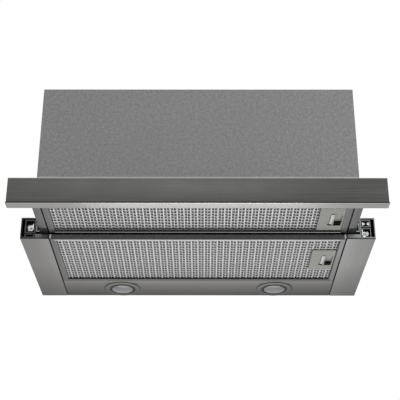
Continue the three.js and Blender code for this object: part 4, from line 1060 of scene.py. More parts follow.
@dataclass
class Outlet:
    """The duct collar with its bead, and the two ribbed flaps on their pin."""

    wall: float = 2.5  # thickness of the collar
    flange: float = 15.0  # width of its flange
    bead: float = 1.0  # how far its bead stands out
    flap_start: float = 4.0  # how far from the pin a flap starts
    rib_start: float = 10.5  # how far from it a flap's ribs start
    ribs: int = 5  # number of a flap's ribs

    def collar(self) -> Surface:
        """The collar's ring with a rounded bead near its rim, about its own axis at z = 0.

        Returns:
            The closed surface.
        """
        low, high = span("duct_collar")
        outer = (high[0] - low[0]) / 2
        radius = outer - self.flange
        bore = radius - self.wall
        base, top = low[2], high[2]
        turns = np.linspace(0, np.pi, 7)
        bead = [(radius + self.bead * math.sin(a), top - 9 + 2.2 * (1 - math.cos(a))) for a in turns]
        profile = [
            (bore, base), (outer - 0.5, base), (outer, base + 0.5), (outer, base + self.wall - 0.5),
            (outer - 0.5, base + self.wall), (radius + 1.2, base + self.wall),
            (radius, base + self.wall + 1.2), *bead, (radius, top - 1.4), (radius - 0.6, top),
            (bore + 0.4, top), (bore, top - 0.6),
        ]
        return upright(profile, "duct_collar")

    def pin(self) -> Surface:
        """The flaps' pin across the collar.

        Returns:
            The closed surface.
        """
        low, high = span("duct_collar")
        reach = (high[0] - low[0]) / 2 - self.flange - 1
        x, y, _ = centre_of("duct_collar")
        return revolved(rod_profile(1.8, -reach, reach), 20, Axis.X).moved(x, y, centre_of("front_flap")[2])

    def flap(self, node: str, side: int) -> Surface:
        """Half a disc with stiffening ribs, and its knuckle on the pin.

        The disc's edge is x^2 + y^2 = R^2 beyond the plate's straight edge near the pin.

        Args:
            node: the flap's CAD node.
            side: 1 for the rear flap and -1 for the front one.

        Returns:
            The flap.
        """
        low, high = span(node)
        radius = (high[0] - low[0]) / 2
        first = np.arcsin(self.flap_start / radius)
        angle = np.linspace(first, np.pi - first, 40)
        edge = radius * np.stack([np.cos(angle), np.sin(angle)], axis=1)
        shapes = [extruded(edge, -0.75, 0.75, Axis.Z)]
        for x in np.linspace(-0.66, 0.66, self.ribs) * radius:
            reach = math.sqrt(radius**2 - x**2) - 4
            shapes.append(slab((x - 0.6, x + 0.6), (self.rib_start, reach), (0.6, 1.9), 0.4, 0.2, 2))
        knuckle = (8.0, 30.0) if side > 0 else (-30.0, -8.0)
        ring = [(2.1, knuckle[0]), (3.4, knuckle[0]), (3.4, knuckle[1]), (2.1, knuckle[1])]
        strap = slab(knuckle, tuple(sorted((side * 2.9, side * 5.2))), (-0.75, 0.75), 0.2, 0.1, 1)
        flat = merged(shapes)
        disc = Surface(flat.points * np.array([1, side, 1]), flat.faces)
        x, y, _ = centre_of("duct_collar")
        return disc.joined(revolved(ring, 24, Axis.X), strap).moved(x, y, centre_of(node)[2])

    def build(self) -> None:
        """Makes the outlet's pieces."""
        piece("outlet_collar", self.collar(), GREY_PLASTIC, "hood", "duct_collar")
        piece("outlet_pin", self.pin(), BRIGHT_STEEL_AND_HIGHLIGHT, "hood")
        piece("outlet_front_flap", self.flap("front_flap", -1), DARK_PLASTIC_AND_SHADE, "front_flap", "front_flap")
        piece("outlet_rear_flap", self.flap("rear_flap", 1), DARK_PLASTIC_AND_SHADE, "rear_flap", "rear_flap")


@dataclass
class SideBlock:
    """One side block of the base: steel cover, moulded bracket, channel, rail and clamp.

    Everything is drawn for the right and mirrored for the left.
    """

    side: int  # 1 for the right block and -1 for the left one
    name: str  # right or left
    sheet: float = 1.0  # the cover's thickness
    fold: float = 1.3  # the cover's folds, how far from a corner they start
    upstand: float = 9.0  # height of the cover's edge along the filter
    step: float = 1.7  # how far the cover's front edge stands behind the bracket's
    rim: float = 1.3  # width and depth of the bracket's front rim
    cell_wall: float = 1.0  # thickness of the walls of its two cells
    sill: float = 20.9  # width of the bracket's sill beside the rail

    def cover(self) -> Surface:
        """The folded steel cover with its closed rear end.

        Its cross-section is a line up the outer wall, round the floor and up the inner edge.

        Returns:
            The cover.
        """
        low, high = span("right_block_cover")
        corners = [(high[0], high[2]), (high[0], low[2]), (low[0], low[2]), (low[0], low[2] + self.upstand)]
        line = folded(corners, self.fold)
        long = extruded(sheet(line[::-1], self.sheet), low[1] + self.step, high[1] - 1.1, Axis.Y)
        back = slab((low[0] + 0.2, high[0] - 0.2), (low[2] + 0.2, high[2]), (0, 1), 1.2, 0.2, 3)
        return long.joined(back.turned("X", 90).moved(y=high[1])).on(self.side)

    def box(self, x: Range, z: Range, y: Range, wall: tuple[float, ...]) -> Surface:
        """An open-fronted box's four walls, with their front edges rounded.

        Args:
            x: its left and right.
            z: its low and high.
            y: its front and rear.
            wall: thickness of the walls at the left, the right, the bottom and the top.

        Returns:
            The closed frame.
        """
        outer = rounded_rectangle(x, z, 0.8, 3)
        mouth = rounded_rectangle((x[0] + wall[0], x[1] - wall[1]), (z[0] + wall[2], z[1] - wall[3]), 0.9, 3)
        front, rear = y
        profile = [(0.0, front + 0.3), (0.15, front + 0.05), (0.3, front), (0.75, front), (1.0, front + 0.3)]
        profile += [(1.0, front + self.rim), (1.0, rear), (0.0, rear), (0.0, front + self.rim)]
        return rim(outer, mouth, profile).laid(Axis.Y)

    def web(self) -> Range:
        """The low and high of the clear gap between the two cells."""
        height = span(f"{self.name}_clamp_plate")[0][2] - SEAT
        return height - 3.6, height - 1.6

    def bracket(self) -> Surface:
        """The moulded end: a deep black sleeve, its back wall with the screw's hole, and a black lip along
        its lower front painted as a shadow line.

        Returns:
            The moulding.
        """
        low, high = span("right_end_bracket")
        left = low[0] + self.sill
        t = self.rim
        sleeve = self.box((left, high[0]), (low[2], high[2]), (t + 0.1, high[1]), (1.6, 1.0, 1.2, 1.2))
        # The lip is a black strip along the block's lower front edge, painted as the shadow line there.
        lip = slab((low[0] - 0.9, high[0] + 1.1), (0.05, t), (low[2] - 1.2, low[2] + 0.2), 0.2, 0.15, 2)
        back = rim(
            rounded_rectangle((left + 1.5, high[0] - 0.9), (low[2] + 1.1, high[2] - 1.1), 0.5, 3),
            self.screw_hole(2.6),
            [(0.0, high[1] - 4), (1.0, high[1] - 4), (1.0, high[1] - 0.1), (0.0, high[1] - 0.1)],
        )
        return merged([sleeve, lip, back.laid(Axis.Y)]).on(self.side)

    def cells(self) -> Surface:
        """The front rim, the two cells set into the sleeve, and the sill beside the rail.

        Returns:
            The moulding.
        """
        low, high = span("right_end_bracket")
        left = low[0] + self.sill
        lower, upper = self.web()
        w = self.cell_wall
        edges = (1.7, 1.4, 1.7, 1.0)
        front = self.box((left, high[0] + 1.1), (low[2] + 0.2, high[2]), (0.0, self.rim), edges)
        walls = (w, w, w, w)
        top = self.box((left + 1.9, high[0] - 6.2), (upper, high[2] - 2.6), (0.9, 22.0), walls)
        bottom = self.box((left + 2.4, high[0] - 6.2), (low[2] + 1.9, lower), (1.2, 22.0), walls)
        sill_top = span("rear_filter_frame")[1][2] + SEAT
        sill = slab((low[0], left + 0.5), (low[1] + 0.1, high[1]), (low[2] + 0.2, sill_top), 0.5, 0.3, 3)
        return merged([front, top, bottom, sill]).on(self.side)

    def screw_hole(self, radius: float) -> np.ndarray:
        """A circle about the clamp screw with as many points as a rounded rectangle of 3 steps.

        Args:
            radius: the circle's radius.

        Returns:
            The circle's x, z rows.
        """
        x, _, z = centre_of(f"{self.name}_clamp_screw")
        return np.concatenate([arc((abs(x), z), radius, a, a + 82, 3) for a in (-90, 0, 90, 180)])

    def ears(self) -> Surface:
        """The right clamp's two bent ears, wedges that point at each other in the upper cell.

        Returns:
            The ears.
        """
        low, high = span("right_clamp_plate")
        front, middle = 3.6, (low[2] + high[2]) / 2 + 0.3
        near, far = low[0] + 2.0, high[0] - 4.6
        left = np.array([(0.0, -3.6), (5.4, -0.4), (5.0, 0.6), (0.0, 3.2)]) + (near, middle)
        right = np.array([(0.0, -4.0), (0.0, 4.2), (-2.2, 3.8), (-4.8, 0.3), (-4.6, -0.6)]) + (far, middle)
        ear = extruded(right, front + 0.8, front + 3.2, Axis.Y)
        return extruded(left, front, front + 2.4, Axis.Y).joined(ear)

    def tongue(self) -> Surface:
        """The clamp's bent tongue beside the screw: a strip whose edge curls to the front.

        Returns:
            The tongue.
        """
        x, _, z = centre_of(f"{self.name}_clamp_screw")
        x = abs(x)
        if self.side > 0:
            line = folded([(x - 7.4, 2.6), (x - 6.4, 8.2), (x - 0.4, 8.6)], 1.6)
            height = (z - 5.6, z + 5.4)
        else:
            line = folded([(x - 6.6, 3.4), (x - 6.0, 8.2), (x + 2.4, 8.6)], 1.2)
            height = (z - 6.2, z + 4.6)
        return extruded(sheet(line, 0.9), *height, Axis.Z).on(self.side)

    def screw(self) -> Surface:
        """The clamp screw: a cross-head facing the front, and its shank.

        Returns:
            The screw.
        """
        low, high = span(f"{self.name}_clamp_screw")
        radius = (high[0] - low[0]) / 2
        head = screw_head(radius, 2.6).turned("X", 90).moved(y=low[1] + 2.6)
        shank = revolved(rod_profile(2.2, low[1] + 2.5, high[1]), 20, Axis.Y)
        x, _, z = centre_of(f"{self.name}_clamp_screw")
        return head.moved(y=-3.6).joined(shank.moved(y=-3.4)).moved(x=x, z=z)

    def build(self) -> None:
        """Makes the block's pieces."""
        name = self.name
        right = self.side > 0
        # The same steel on both sides; the right cover gets a copy painted lighter as light.
        steel = BASE_STEEL_LIT_RIGHT if right else BASE_STEEL_REAR_SHADED
        piece(f"{name}_cover_steel", self.cover(), steel, "hood", f"{name}_block_cover", 0.2)
        piece(f"{name}_end_moulding", self.bracket(), BLACK_PLASTIC, "hood", f"{name}_end_bracket", 0.0, 40)
        # The same moulding on both sides: the left's copy is painted darker as shade, near black at its front
        # rim and mid grey behind, and the cells' insides are painted black as shade.
        moulding = GREY_PLASTIC if right else DARK_PLASTIC_AND_SHADE
        cells = piece(f"{name}_end_cells", self.cells(), moulding, "hood", "", 0.0, 40)
        if not right:
            sill = -span("right_end_bracket")[0][0] - self.sill - SEAT
            tone(cells, RUNNER_PAINT_AND_SHADE, x=(sill, END))
            tone(cells, RUNNER_PAINT_AND_SHADE, y=(0.85, END))
        tone(cells, PAINTED_SHADE, y=(4.0, END), away=(274.0, END))
        dress(f"{name}_side_channel", ZINC, 0.3)
        dress(f"{name}_fixed_rail", ZINC, 0.2)
        piece(f"{name}_cross_screw", self.screw(), BRIGHT_STEEL_AND_HIGHLIGHT, "hood", f"{name}_clamp_screw")
        piece(f"{name}_clamp_tongue", self.tongue(), BRIGHT_STEEL_AND_HIGHLIGHT, "hood", "", 0.2)
        if right:
            piece("right_clamp_ears", self.ears(), BRIGHT_STEEL_AND_HIGHLIGHT, "hood", "", 0.3)
        dress(f"{name}_clamp_plate", DARK_STEEL_AND_SHADE, 0.3)


@dataclass
class Lamps:
    """The lamp panel with its two lamps."""

    throat: float = 21.2  # radius of the ring's throat
    sheet: float = 1.0  # thickness of the panel
    hole: float = 24.4  # radius of its holes
    square: float = 30.0  # half the side of the square of skin round a hole
    edge: float = 1.8  # width of the shadow at the panel's ends
    # Start and end, from its front edge, of a line in the frame's lit finish, painted as a highlight.
    line: Range = (5.2, 8.6)
    tail: float = 5.0  # width of the shadow along its rear

    def panel(self) -> Surface:
        """The lamp panel's outer skin, rounded into its two upstands, with a hole for each lamp.

        Round a hole the squares give way to a ring of quads from a square loop to its projection on the
        circle.

        Returns:
            The panel.
        """
        low, high = span("lamp_panel")
        half = self.square
        steps = np.linspace(-half, half, 9)
        lamp = centre_of("right_lamp_bezel")
        inside = high[0] - self.edge
        xs = np.concatenate([[low[0], -inside], -lamp[0] + steps, [0.0], lamp[0] + steps, [inside, high[0]]])
        folds = folded([(low[1], low[2] + 8), (low[1], low[2]), (low[1] + 3, low[2])], 0.7, 4)
        folds = np.concatenate([folds, [(low[1] + reach, low[2]) for reach in self.line]])
        tail = folded([(high[1] - self.tail, low[2]), (high[1], low[2]), (high[1], high[2])], 0.5, 4)
        line = np.concatenate([folds, np.column_stack([lamp[1] + steps, np.full(9, low[2])]), tail])
        skin = grid(np.stack(np.broadcast_arrays(xs, *line.T[:, :, None]), axis=-1))
        centres = np.array([np.mean(skin.points[face], axis=0) for face in skin.faces])
        off = np.maximum(np.abs(np.abs(centres[:, 0]) - lamp[0]), np.abs(centres[:, 1] - lamp[1]))
        kept = [face for face, far in zip(skin.faces, off) if far > half]
        rings = []
        side = steps[:-1]
        edges = ((side, -half), (half, side), (-side, half), (-half, -side))
        square = np.concatenate([np.stack(np.broadcast_arrays(*pair), axis=1) for pair in edges])
        circle = square / np.linalg.norm(square, axis=1)[:, None] * self.hole
        for place in (-lamp[0], lamp[0]):
            loops = np.stack([square, circle]) + np.array([place, lamp[1]])
            level = np.full((*loops.shape[:2], 1), low[2])
            rings.append(grid(np.concatenate([loops, level], axis=2), close_columns=True))
        return Surface(skin.points, kept).joined(*rings)

    def bezel(self, node: str) -> Surface:
        """The lamp's steel ring, with a rolled rim and a groove round its throat.

        Args:
            node: the ring's CAD node.

        Returns:
            The closed surface.
        """
        low, high = span(node)
        outer = (high[0] - low[0]) / 2
        base, top = low[2], high[2]
        throat = self.throat
        profile = [
            (throat, base + 0.6), (throat + 0.2, base + 0.15), (throat + 0.7, base),
            (throat + 1.1, base + 0.15), (throat + 1.3, base + 0.75), (throat + 2.7, base + 0.75),
            (throat + 2.9, base + 0.15), (throat + 3.5, base), (outer - 1.7, base + 0.1),
            (outer - 0.8, base + 0.3), (outer, base + 0.95), (throat + 2.4, base + 1.05),
            (throat + 2.4, top), (throat, top),
        ]
        return upright(profile, node)

    def lens(self, node: str) -> Surface:
        """The lens: a shallow dome, z = low + rise (r / R)^2, with a fine stepped rim.

        Args:
            node: the lens's CAD node.

        Returns:
            The closed surface.
        """
        low, high = span(node)
        radius = (high[0] - low[0]) / 2
        rise = 1.6
        dome = [(radius * share, low[2] + rise * share**2) for share in np.linspace(0, 0.93, 14)]
        rim_edge = [
            (radius * 0.94, low[2] + rise * 0.9 + 0.35), (radius * 0.97, low[2] + rise * 0.95),
            (radius, low[2] + rise + 0.2), (radius, high[2]), (0, high[2]),
        ]
        return upright(dome + rim_edge, node)

    def lamp_body(self, node: str) -> Surface:
        """The lamp's can with cooling fins and its socket above.

        Args:
            node: the can's CAD node.

        Returns:
            The closed surface.
        """
        low, high = span(node)
        outer = (high[0] - low[0]) / 2
        base, top = low[2], high[2]
        fins = []
        for level in np.linspace(base + 3, top - 9, 5):
            fins += [(outer, level), (outer, level + 1.2), (outer - 3, level + 1.4), (outer - 3, level + 2.2)]
        profile = [
            (0, base), (outer - 0.4, base), (outer, base + 0.4), *fins, (outer - 3, top - 4.4),
            (outer - 4, top - 4), (outer / 2, top - 4), (outer / 2, top - 0.5), (outer / 2 - 0.5, top),
            (0, top),
        ]
        return upright(profile, node, 64)

    def build(self) -> None:
        """Makes the lamp panel's and the lamps' pieces."""
        low, high = span("lamp_panel")
        panel = piece("lamp_sheet", self.panel(), LAMP_STEEL_REAR_SHADED, "hood", "lamp_panel")
        line_start, line_end = self.line
        # Painted light and shade on the panel: a highlight line along its front, shade along its rear and at
        # its ends.
        tone(panel, FRAME_LIT, y=(low[1] + line_start, low[1] + line_end))
        tone(panel, BASE_STEEL_REAR_SHADED, ny=(0.7, END))
        tone(panel, DARK_STEEL_AND_SHADE, y=(high[1] - self.tail, END), z=(-END, low[2] + 1.2))
        tone(panel, PAINTED_SHADE, away=(high[0] - self.edge, END))
        thick = panel.modifiers.new("thickness", "SOLIDIFY")
        thick.thickness = self.sheet / MM
        thick.offset = -1.0
        for _, name in SIDES:
            bezel, lens, can = f"{name}_lamp_bezel", f"{name}_lamp_lens", f"{name}_lamp_body"
            ring = piece(f"{name}_lamp_ring", self.bezel(bezel), LAMP_STEEL_REAR_SHADED, "hood", bezel)
            ring_low, ring_high = span(bezel)
            centre, outer = centre_of(bezel), (ring_high[0] - ring_low[0]) / 2
            groove = (self.throat + 1.15, self.throat + 2.85)
            # Painted shade: dark rings in the ring's groove, at its outer edge and round the lens's rim.
            tone(ring, PAINTED_SHADE, centre, away=groove, z=(-END, ring_low[2] + 0.9))
            tone(ring, DARK_STEEL_AND_SHADE, centre, away=(outer - 1.3, END))
            window = piece(f"{name}_lamp_window", self.lens(lens), LENS_PLASTIC, "hood", lens)
            tone(window, PAINTED_SHADE, centre, away=(self.throat - 2.0, END))
            piece(f"{name}_lamp_can", self.lamp_body(can), ZINC, "hood", can)


@dataclass
class MeshPattern:
    """The lattice of one layer of expanded mesh."""

    pitch: float = 11.0  # from one lengthwise rib to the next
    row: float = 10.55  # from one row of holes to the next
    rib: float = 2.4  # width of a lengthwise rib, 0 for none
    strand: float = 0.8  # width of a thin lengthwise strand between ribs
    bar: float = 1.75  # width of a crosswise bar
    apart: float = 4.2  # from one bar of a row to the other
    slant: float = 1.3  # how far a bar's two ends between ribs lie before and behind its middle
    tilt: float = 12.0  # how far a crosswise bar is tilted, in degrees
    thickness: float = 0.45  # of every strip
    middle: float = 0.0  # the y of the middle of one row

    def ribbon(self, centre: np.ndarray, width: float, tilt: float, across: int) -> Surface:
        """A thin flat strip along a line, tilted about it.

        Its corners are centre + (±width/2 cos t, ±width/2 sin t) ± thickness/2 across both.

        Args:
            centre: the line's points.
            width: the strip's width.
            tilt: its tilt in degrees.
            across: which of x and y, 0 or 1, its width lies along.

        Returns:
            The closed strip.
        """
        t = math.radians(tilt)
        w, h = width / 2, self.thickness / 2
        corners = np.array([(-w, -h), (w, -h), (w, h), (-w, h)])
        flat = corners[:, 0] * math.cos(t) - corners[:, 1] * math.sin(t)
        tall = corners[:, 0] * math.sin(t) + corners[:, 1] * math.cos(t)
        offset = np.zeros((4, 3))
        offset[:, across] = flat
        offset[:, 2] = tall
        return loft(centre[:, None, :] + offset[None])

    def bent_rib(self, x: float, y: Range, z: float) -> Surface:
        """A broad rib with a rounded crown and edges that swell at each row.

        Its half width is rib/2 + 0.25 cos(2 pi y / row) and its crown stands 0.62 lower.

        Args:
            x: the rib's middle.
            y: its front and rear.
            z: the level of its edges.

        Returns:
            The closed surface.
        """
        count = max(int((y[1] - y[0]) / self.row * 4), 2)
        along = np.linspace(y[0], y[1], count)
        half = self.rib / 2 + 0.25 * np.cos(2 * np.pi * along / self.row)
        share = np.array([-1, -0.55, 0.55, 1, 0.5, -0.5])
        drop = np.array([0, -0.62, -0.62, 0, 0.1, 0.1])
        points = np.broadcast_arrays(x + half[:, None] * share, along[:, None], z + drop)
        return loft(np.stack(points, axis=-1))

    def lengthwise(self, place: float, y: Range, hole: tuple[float, float, float]) -> list[Range]:
        """The stretches of y that a strip along y covers, one or, beside the latch, two."""
        left, front, rear = hole
        return [y] if place < left - self.rib / 2 else [(y[0], front), (rear, y[1])]

    def sheet(self, x: Range, y: Range, z: float, hole: tuple[float, float, float]) -> Surface:
        """The lattice over a rectangle, left out where the latch is.

        Two bars to a row run along x, each slanting from y - slant at one rib to y + slant at the next.

        Args:
            x: the rectangle's left and right.
            y: its front and rear.
            z: the lattice's level.
            hole: the latch's left edge, front and rear.

        Returns:
            The lattice.
        """
        left, front, rear = hole
        shapes: list[Surface] = []
        columns = int((x[1] - x[0]) / self.pitch)
        first = (x[0] + x[1]) / 2 - columns * self.pitch / 2
        ribs = first + np.arange(-1, columns + 1) * self.pitch
        ends = np.stack([ribs + 0.5, ribs + self.pitch - 0.5], axis=1).ravel()
        bend = np.tile([-self.slant, self.slant], len(ribs))
        begin = math.floor((y[0] - self.middle) / self.row)
        for index in range(begin, begin + int((y[1] - y[0]) / self.row) + 3):
            middle = self.middle + index * self.row
            for part in (-1, 1):
                place = middle + part * self.apart / 2
                if not y[0] < place < y[1]:
                    continue
                end = left if front - self.bar < place < rear + self.bar else x[1]
                inside = ends[(ends > x[0]) & (ends < end)]
                along = np.concatenate([[x[0]], inside, [end]])
                across = np.clip(place + np.interp(along, ends, bend), y[0], y[1])
                centre = np.stack([along, across, np.full(len(along), z)], axis=1)
                shapes.append(self.ribbon(centre, self.bar, self.tilt * part, 1))
        for place in ribs[:-1] + self.pitch / 2 if self.strand else []:
            for part in self.lengthwise(place, y, hole):
                along = np.linspace(*part, max(int((part[1] - part[0]) / self.row * 2), 2))
                centre = np.stack([np.full(len(along), place), along, np.full(len(along), z - 0.15)], axis=1)
                shapes.append(self.ribbon(centre, self.strand, 0, 0))
        for place in ribs[1:] if self.rib else []:
            shapes += [self.bent_rib(place, part, z) for part in self.lengthwise(place, y, hole)]
        return merged(shapes)


@dataclass
class GreaseFilter:
    """One grease filter: mitred frame, two layers of mesh and its latch."""

    name: str  # front or rear
    strip: float  # width of the frame at the filter's front
    rear_strip: float  # width of the frame at the filter's rear
    row_middle: float  # the y of the middle of one row of its face mesh
    side_strip: float = 10.8  # width of the frame at the filter's sides
    wall: float = 1.0  # thickness of the frame's sheet
    seam: float = 0.12  # how far a bar ends before its mitre
    window_width: float = 19.8  # width of the latch's finger window
    travel: float = 3.8  # how far the handle slides
    lip_width: float = 6.6  # width of the handle's lip
    lip_rise: float = 1.2  # how far the lip stands out of the latch's face
    slot: float = 5.5  # from the pocket's rear edge to the handle's
    pocket_start: float = 0.55  # the share of the handle's length in front of the pocket

    def __post_init__(self) -> None:
        """Reads the filter's place from its CAD nodes."""
        self.low, self.high = span(f"{self.name}_filter_frame")
        self.plate_low, self.plate_high = span(f"{self.name}_latch_plate")
        self.body = f"{self.name}_filter"

    def frame_bars(self) -> Surface:
        """Four channel bars that meet in mitres, open towards the mesh.

        A cross-section point (s, z) of a bar lies s of the way from the outer to the inner edge.

        Returns:
            The bars.
        """
        x0, y0, z0 = self.low
        x1, y1, z1 = self.high
        sx, sy, ry = self.side_strip, self.strip, self.rear_strip
        outer = np.array([(x0, y0), (x1, y0), (x1, y1), (x0, y1)])
        inner = np.array([(x0 + sx, y0 + sy), (x1 - sx, y0 + sy), (x1 - sx, y1 - ry), (x0 + sx, y1 - ry)])
        w = self.wall / sy
        line = [
            (0.0, z0 + 0.9), (0.02, z0 + 0.3), (0.1, z0), (0.34, z0), (0.6, z0), (0.78, z0),
            (0.92, z0 + 0.25), (1.0, z0 + 0.85), (0.98, z0 + 1.25), (0.86, z0 + self.wall),
            (w, z0 + self.wall + 0.4), (w, z1 - self.wall), (1.0, z1 - self.wall), (1.0, z1), (0.1, z1),
            (0.0, z1 - 0.8),
        ]
        share = np.array([s for s, _ in line])[:, None]
        height = np.array([z for _, z in line])[:, None]
        bars = []
        for i in range(4):
            j = (i + 1) % 4
            along = (outer[j] - outer[i]) / np.linalg.norm(outer[j] - outer[i]) * self.seam
            start = outer[i] + along + share * (inner[i] - outer[i])
            end = outer[j] - along + share * (inner[j] - outer[j])
            bars.append(loft(np.stack([np.hstack([start, height]), np.hstack([end, height])])))
        return merged(bars)

    def corners(self) -> Surface:
        """The folded tabs at the two ends of the rear filter's front, painted light as highlights.

        Returns:
            The tabs.
        """
        high = self.high
        tab = rounded_rectangle((high[0] - 2.9, high[0] - 0.2), (self.low[2] + 0.3, high[2] - 0.3), 0.5, 3)
        shape = extruded(tab, self.low[1] - 0.35, self.low[1] + 0.1, Axis.Y)
        return shape.joined(shape.mirrored())

    def mesh_area(self) -> tuple[Range, Range]:
        """The x and y ranges that the mesh covers, with its margin inside the frame.

        Returns:
            The two ranges.
        """
        margin = 5.5
        x = (self.low[0] + self.side_strip - margin, self.high[0] - self.side_strip + margin)
        y = (self.low[1] + self.strip - margin, self.high[1] - 2.0)
        return x, y

    def latch_hole(self) -> tuple[float, float, float]:
        """The latch's left edge, front and rear, as the meshes are cut round it."""
        return self.plate_low[0] - 0.4, self.plate_low[1] - 0.4, self.plate_high[1] + 0.4

    def window(self) -> tuple[Range, Range]:
        """The finger window's x and y ranges.

        Returns:
            The two ranges.
        """
        low, high = span(f"{self.name}_latch_handle")
        right = self.plate_high[0] - 2.5
        return (right - self.window_width, right), (low[1] - SEAT, high[1] + SEAT)

    def plate(self) -> Surface:
        """The latch's face with its window, and the low wall behind its edge.

        Returns:
            The plate.
        """
        (x0, y0, z0), (x1, y1, _) = self.plate_low, self.plate_high
        window_x, window_y = self.window()
        outer = rounded_rectangle((x0, x1), (y0, y1), 2.2, 5)
        inner = rounded_rectangle(window_x, window_y, 3.2, 5)
        profile = [
            (0.0, z0 + 0.5), (0.015, z0 + 0.12), (0.06, z0), (0.8, z0), (0.93, z0 + 0.1), (1.0, z0 + 0.45),
            (1.0, z0 + 1.2), (0.06, z0 + 1.2), (0.0, z0 + 1.0),
        ]
        face = rim(outer, inner, profile)
        walls = rim(
            rounded_rectangle((x0 + 0.7, x1 - 0.4), (y0 + 0.7, y1 - 0.7), 1.6, 4),
            rounded_rectangle((x0 + 1.8, x1 - 1.5), (y0 + 1.8, y1 - 1.8), 1.0, 4),
            [(0, z0 + 1.0), (0, z0 + 2.5), (1, z0 + 2.5), (1, z0 + 1.0)],
        )
        return face.joined(walls)

    def handle(self) -> tuple[Surface, Surface, Surface]:
        """The sliding handle: its raised lip, its finger hollow with stem and bolt, and the pocket, a dark
        tub painted as shade.

        Returns:
            The lip, the hollow, and the pocket joined with a strip under the lip, one piece painted as shade.
        """
        low, high = span(f"{self.name}_latch_handle")
        window_x, _ = self.window()
        z0 = self.plate_low[2]
        stem = window_x[0] + self.travel + SEAT
        front, rear = low[1], high[1]
        right = window_x[1] - SEAT
        lip_right = stem + 2.8
        lip_left, foot = lip_right - self.lip_width, rear - 8.0
        lip = self.lip((lip_left, lip_right), (front + 0.2, foot), z0)
        stem_wall = slab((stem, lip_right), (front + 1.6, rear - 4), (z0 - 1.2, z0 + 6.0), 0.4, 0.2)
        deep = front + self.pocket_start * (rear - front)
        cup = self.scoop((lip_right - 0.6, right), (front, deep), z0, (1.0, 2.4))
        middle = (front + rear) / 2
        bolt_z = z0 + 2.8
        bolt = slab((right - 0.5, high[0]), (middle - 7, middle + 7), (bolt_z, bolt_z + 2.4), 0.4, 0.3)
        pocket = self.scoop((lip_right - 1.8, right), (deep - 0.4, rear - self.slot), z0, (4.8, 5.2))
        # A dark strip under the lip's rear end, painted as its shadow.
        shade = slab((lip_left - 2.6, lip_right), (foot, foot + 4.6), (z0 - 0.6, z0 - SEAT), 0.8, 0.2, 2)
        return lip, merged([stem_wall, cup, bolt]), pocket.joined(shade)

    def lip(self, x: Range, y: Range, z: float) -> Surface:
        """The lip, a tab whose underside is a ramp: it hangs rise (0.45 + 0.55 t) below z - SEAT.

        t goes from 0 at the rear to 1 at the front, and the edges are rounded by (1 - s^4).

        Args:
            x: its left and right.
            y: its front and rear.
            z: the level of the latch's face.

        Returns:
            The closed surface.
        """
        rows, columns = 14, 12
        t = np.linspace(0, 1, rows)[:, None]
        u = np.linspace(-1, 1, columns)[None, :]
        crown = (1 - np.abs(u) ** 4) * (1 - np.abs(2 * t - 1) ** 8)
        depth = self.lip_rise * (0.45 + 0.55 * t) * (0.25 + 0.75 * crown)
        span_x = (x[0] + x[1]) / 2 + u * (x[1] - x[0]) / 2 + 0 * t
        span_y = y[1] + t * (y[0] - y[1]) + 0 * u
        lower = np.stack([span_x, span_y, z - SEAT - depth], axis=-1)
        upper = np.stack([span_x, span_y, np.full((rows, columns), z - SEAT)], axis=-1)
        return between(lower, upper)

    def scoop(self, x: Range, y: Range, z: float, floor: Range) -> Surface:
        """A rounded tub, open below, whose floor is a slope.

        s runs from 0 at the front to 1 at the rear, and the floor lies at floor0 + s (floor1 - floor0).

        Args:
            x: its left and right.
            y: its front and rear.
            z: the level of the latch's face.
            floor: the floor's height above it at the front and the rear.

        Returns:
            The closed tub.
        """
        levels = [
            (0.0, 0.9, 1.05), (0.0, 0.9, 0.0), (0.25, 0.6, 0.0), (0.8, 0.8, 0.0), (1.0, 0.0, 0.55),
            (1.3, 0.0, 0.9), (2.2, 0.0, 1.0),
        ]
        loops = []
        for inset, lift, share in levels:
            outline = rounded_rectangle((x[0] + inset, x[1] - inset), (y[0] + inset, y[1] - inset), 3.0, 5)
            s = (outline[:, 1] - y[0]) / (y[1] - y[0])
            height = z + lift + share * (floor[0] + (floor[1] - floor[0]) * s)
            loops.append(np.column_stack([outline, height]))
        return loft(np.array(loops))

    def spring(self) -> Surface:
        """The coil that pushes the handle back: x = x0 + s L, turning six times.

        Returns:
            The coil.
        """
        low, high = span(f"{self.name}_latch_spring")
        _, y, z = (low + high) / 2
        share, radius = np.linspace(0, 1, 145), 1.55
        turn = 2 * np.pi * 6 * share
        along = low[0] + 0.4 + share * (high[0] - low[0] - 0.8)
        path = [along, y + radius * np.cos(turn), z + radius * np.sin(turn)]
        return wire(np.stack(path, axis=1), 0.34, 6)

    def build(self) -> None:
        """Makes the filter's pieces."""
        name, body = self.name, self.body
        x, y = self.mesh_area()
        hole = self.latch_hole()
        frame_node = f"{name}_filter_frame"
        bars = piece(f"{name}_frame_bars", self.frame_bars(), FRAME_ALUMINIUM_REAR_SHADED, body, frame_node, 0.0, 16)
        front, rear = self.low[1] + self.strip, self.high[1] - self.rear_strip
        start, inner, down = self.low[1], self.high[0] - self.side_strip, (-END, -0.5)
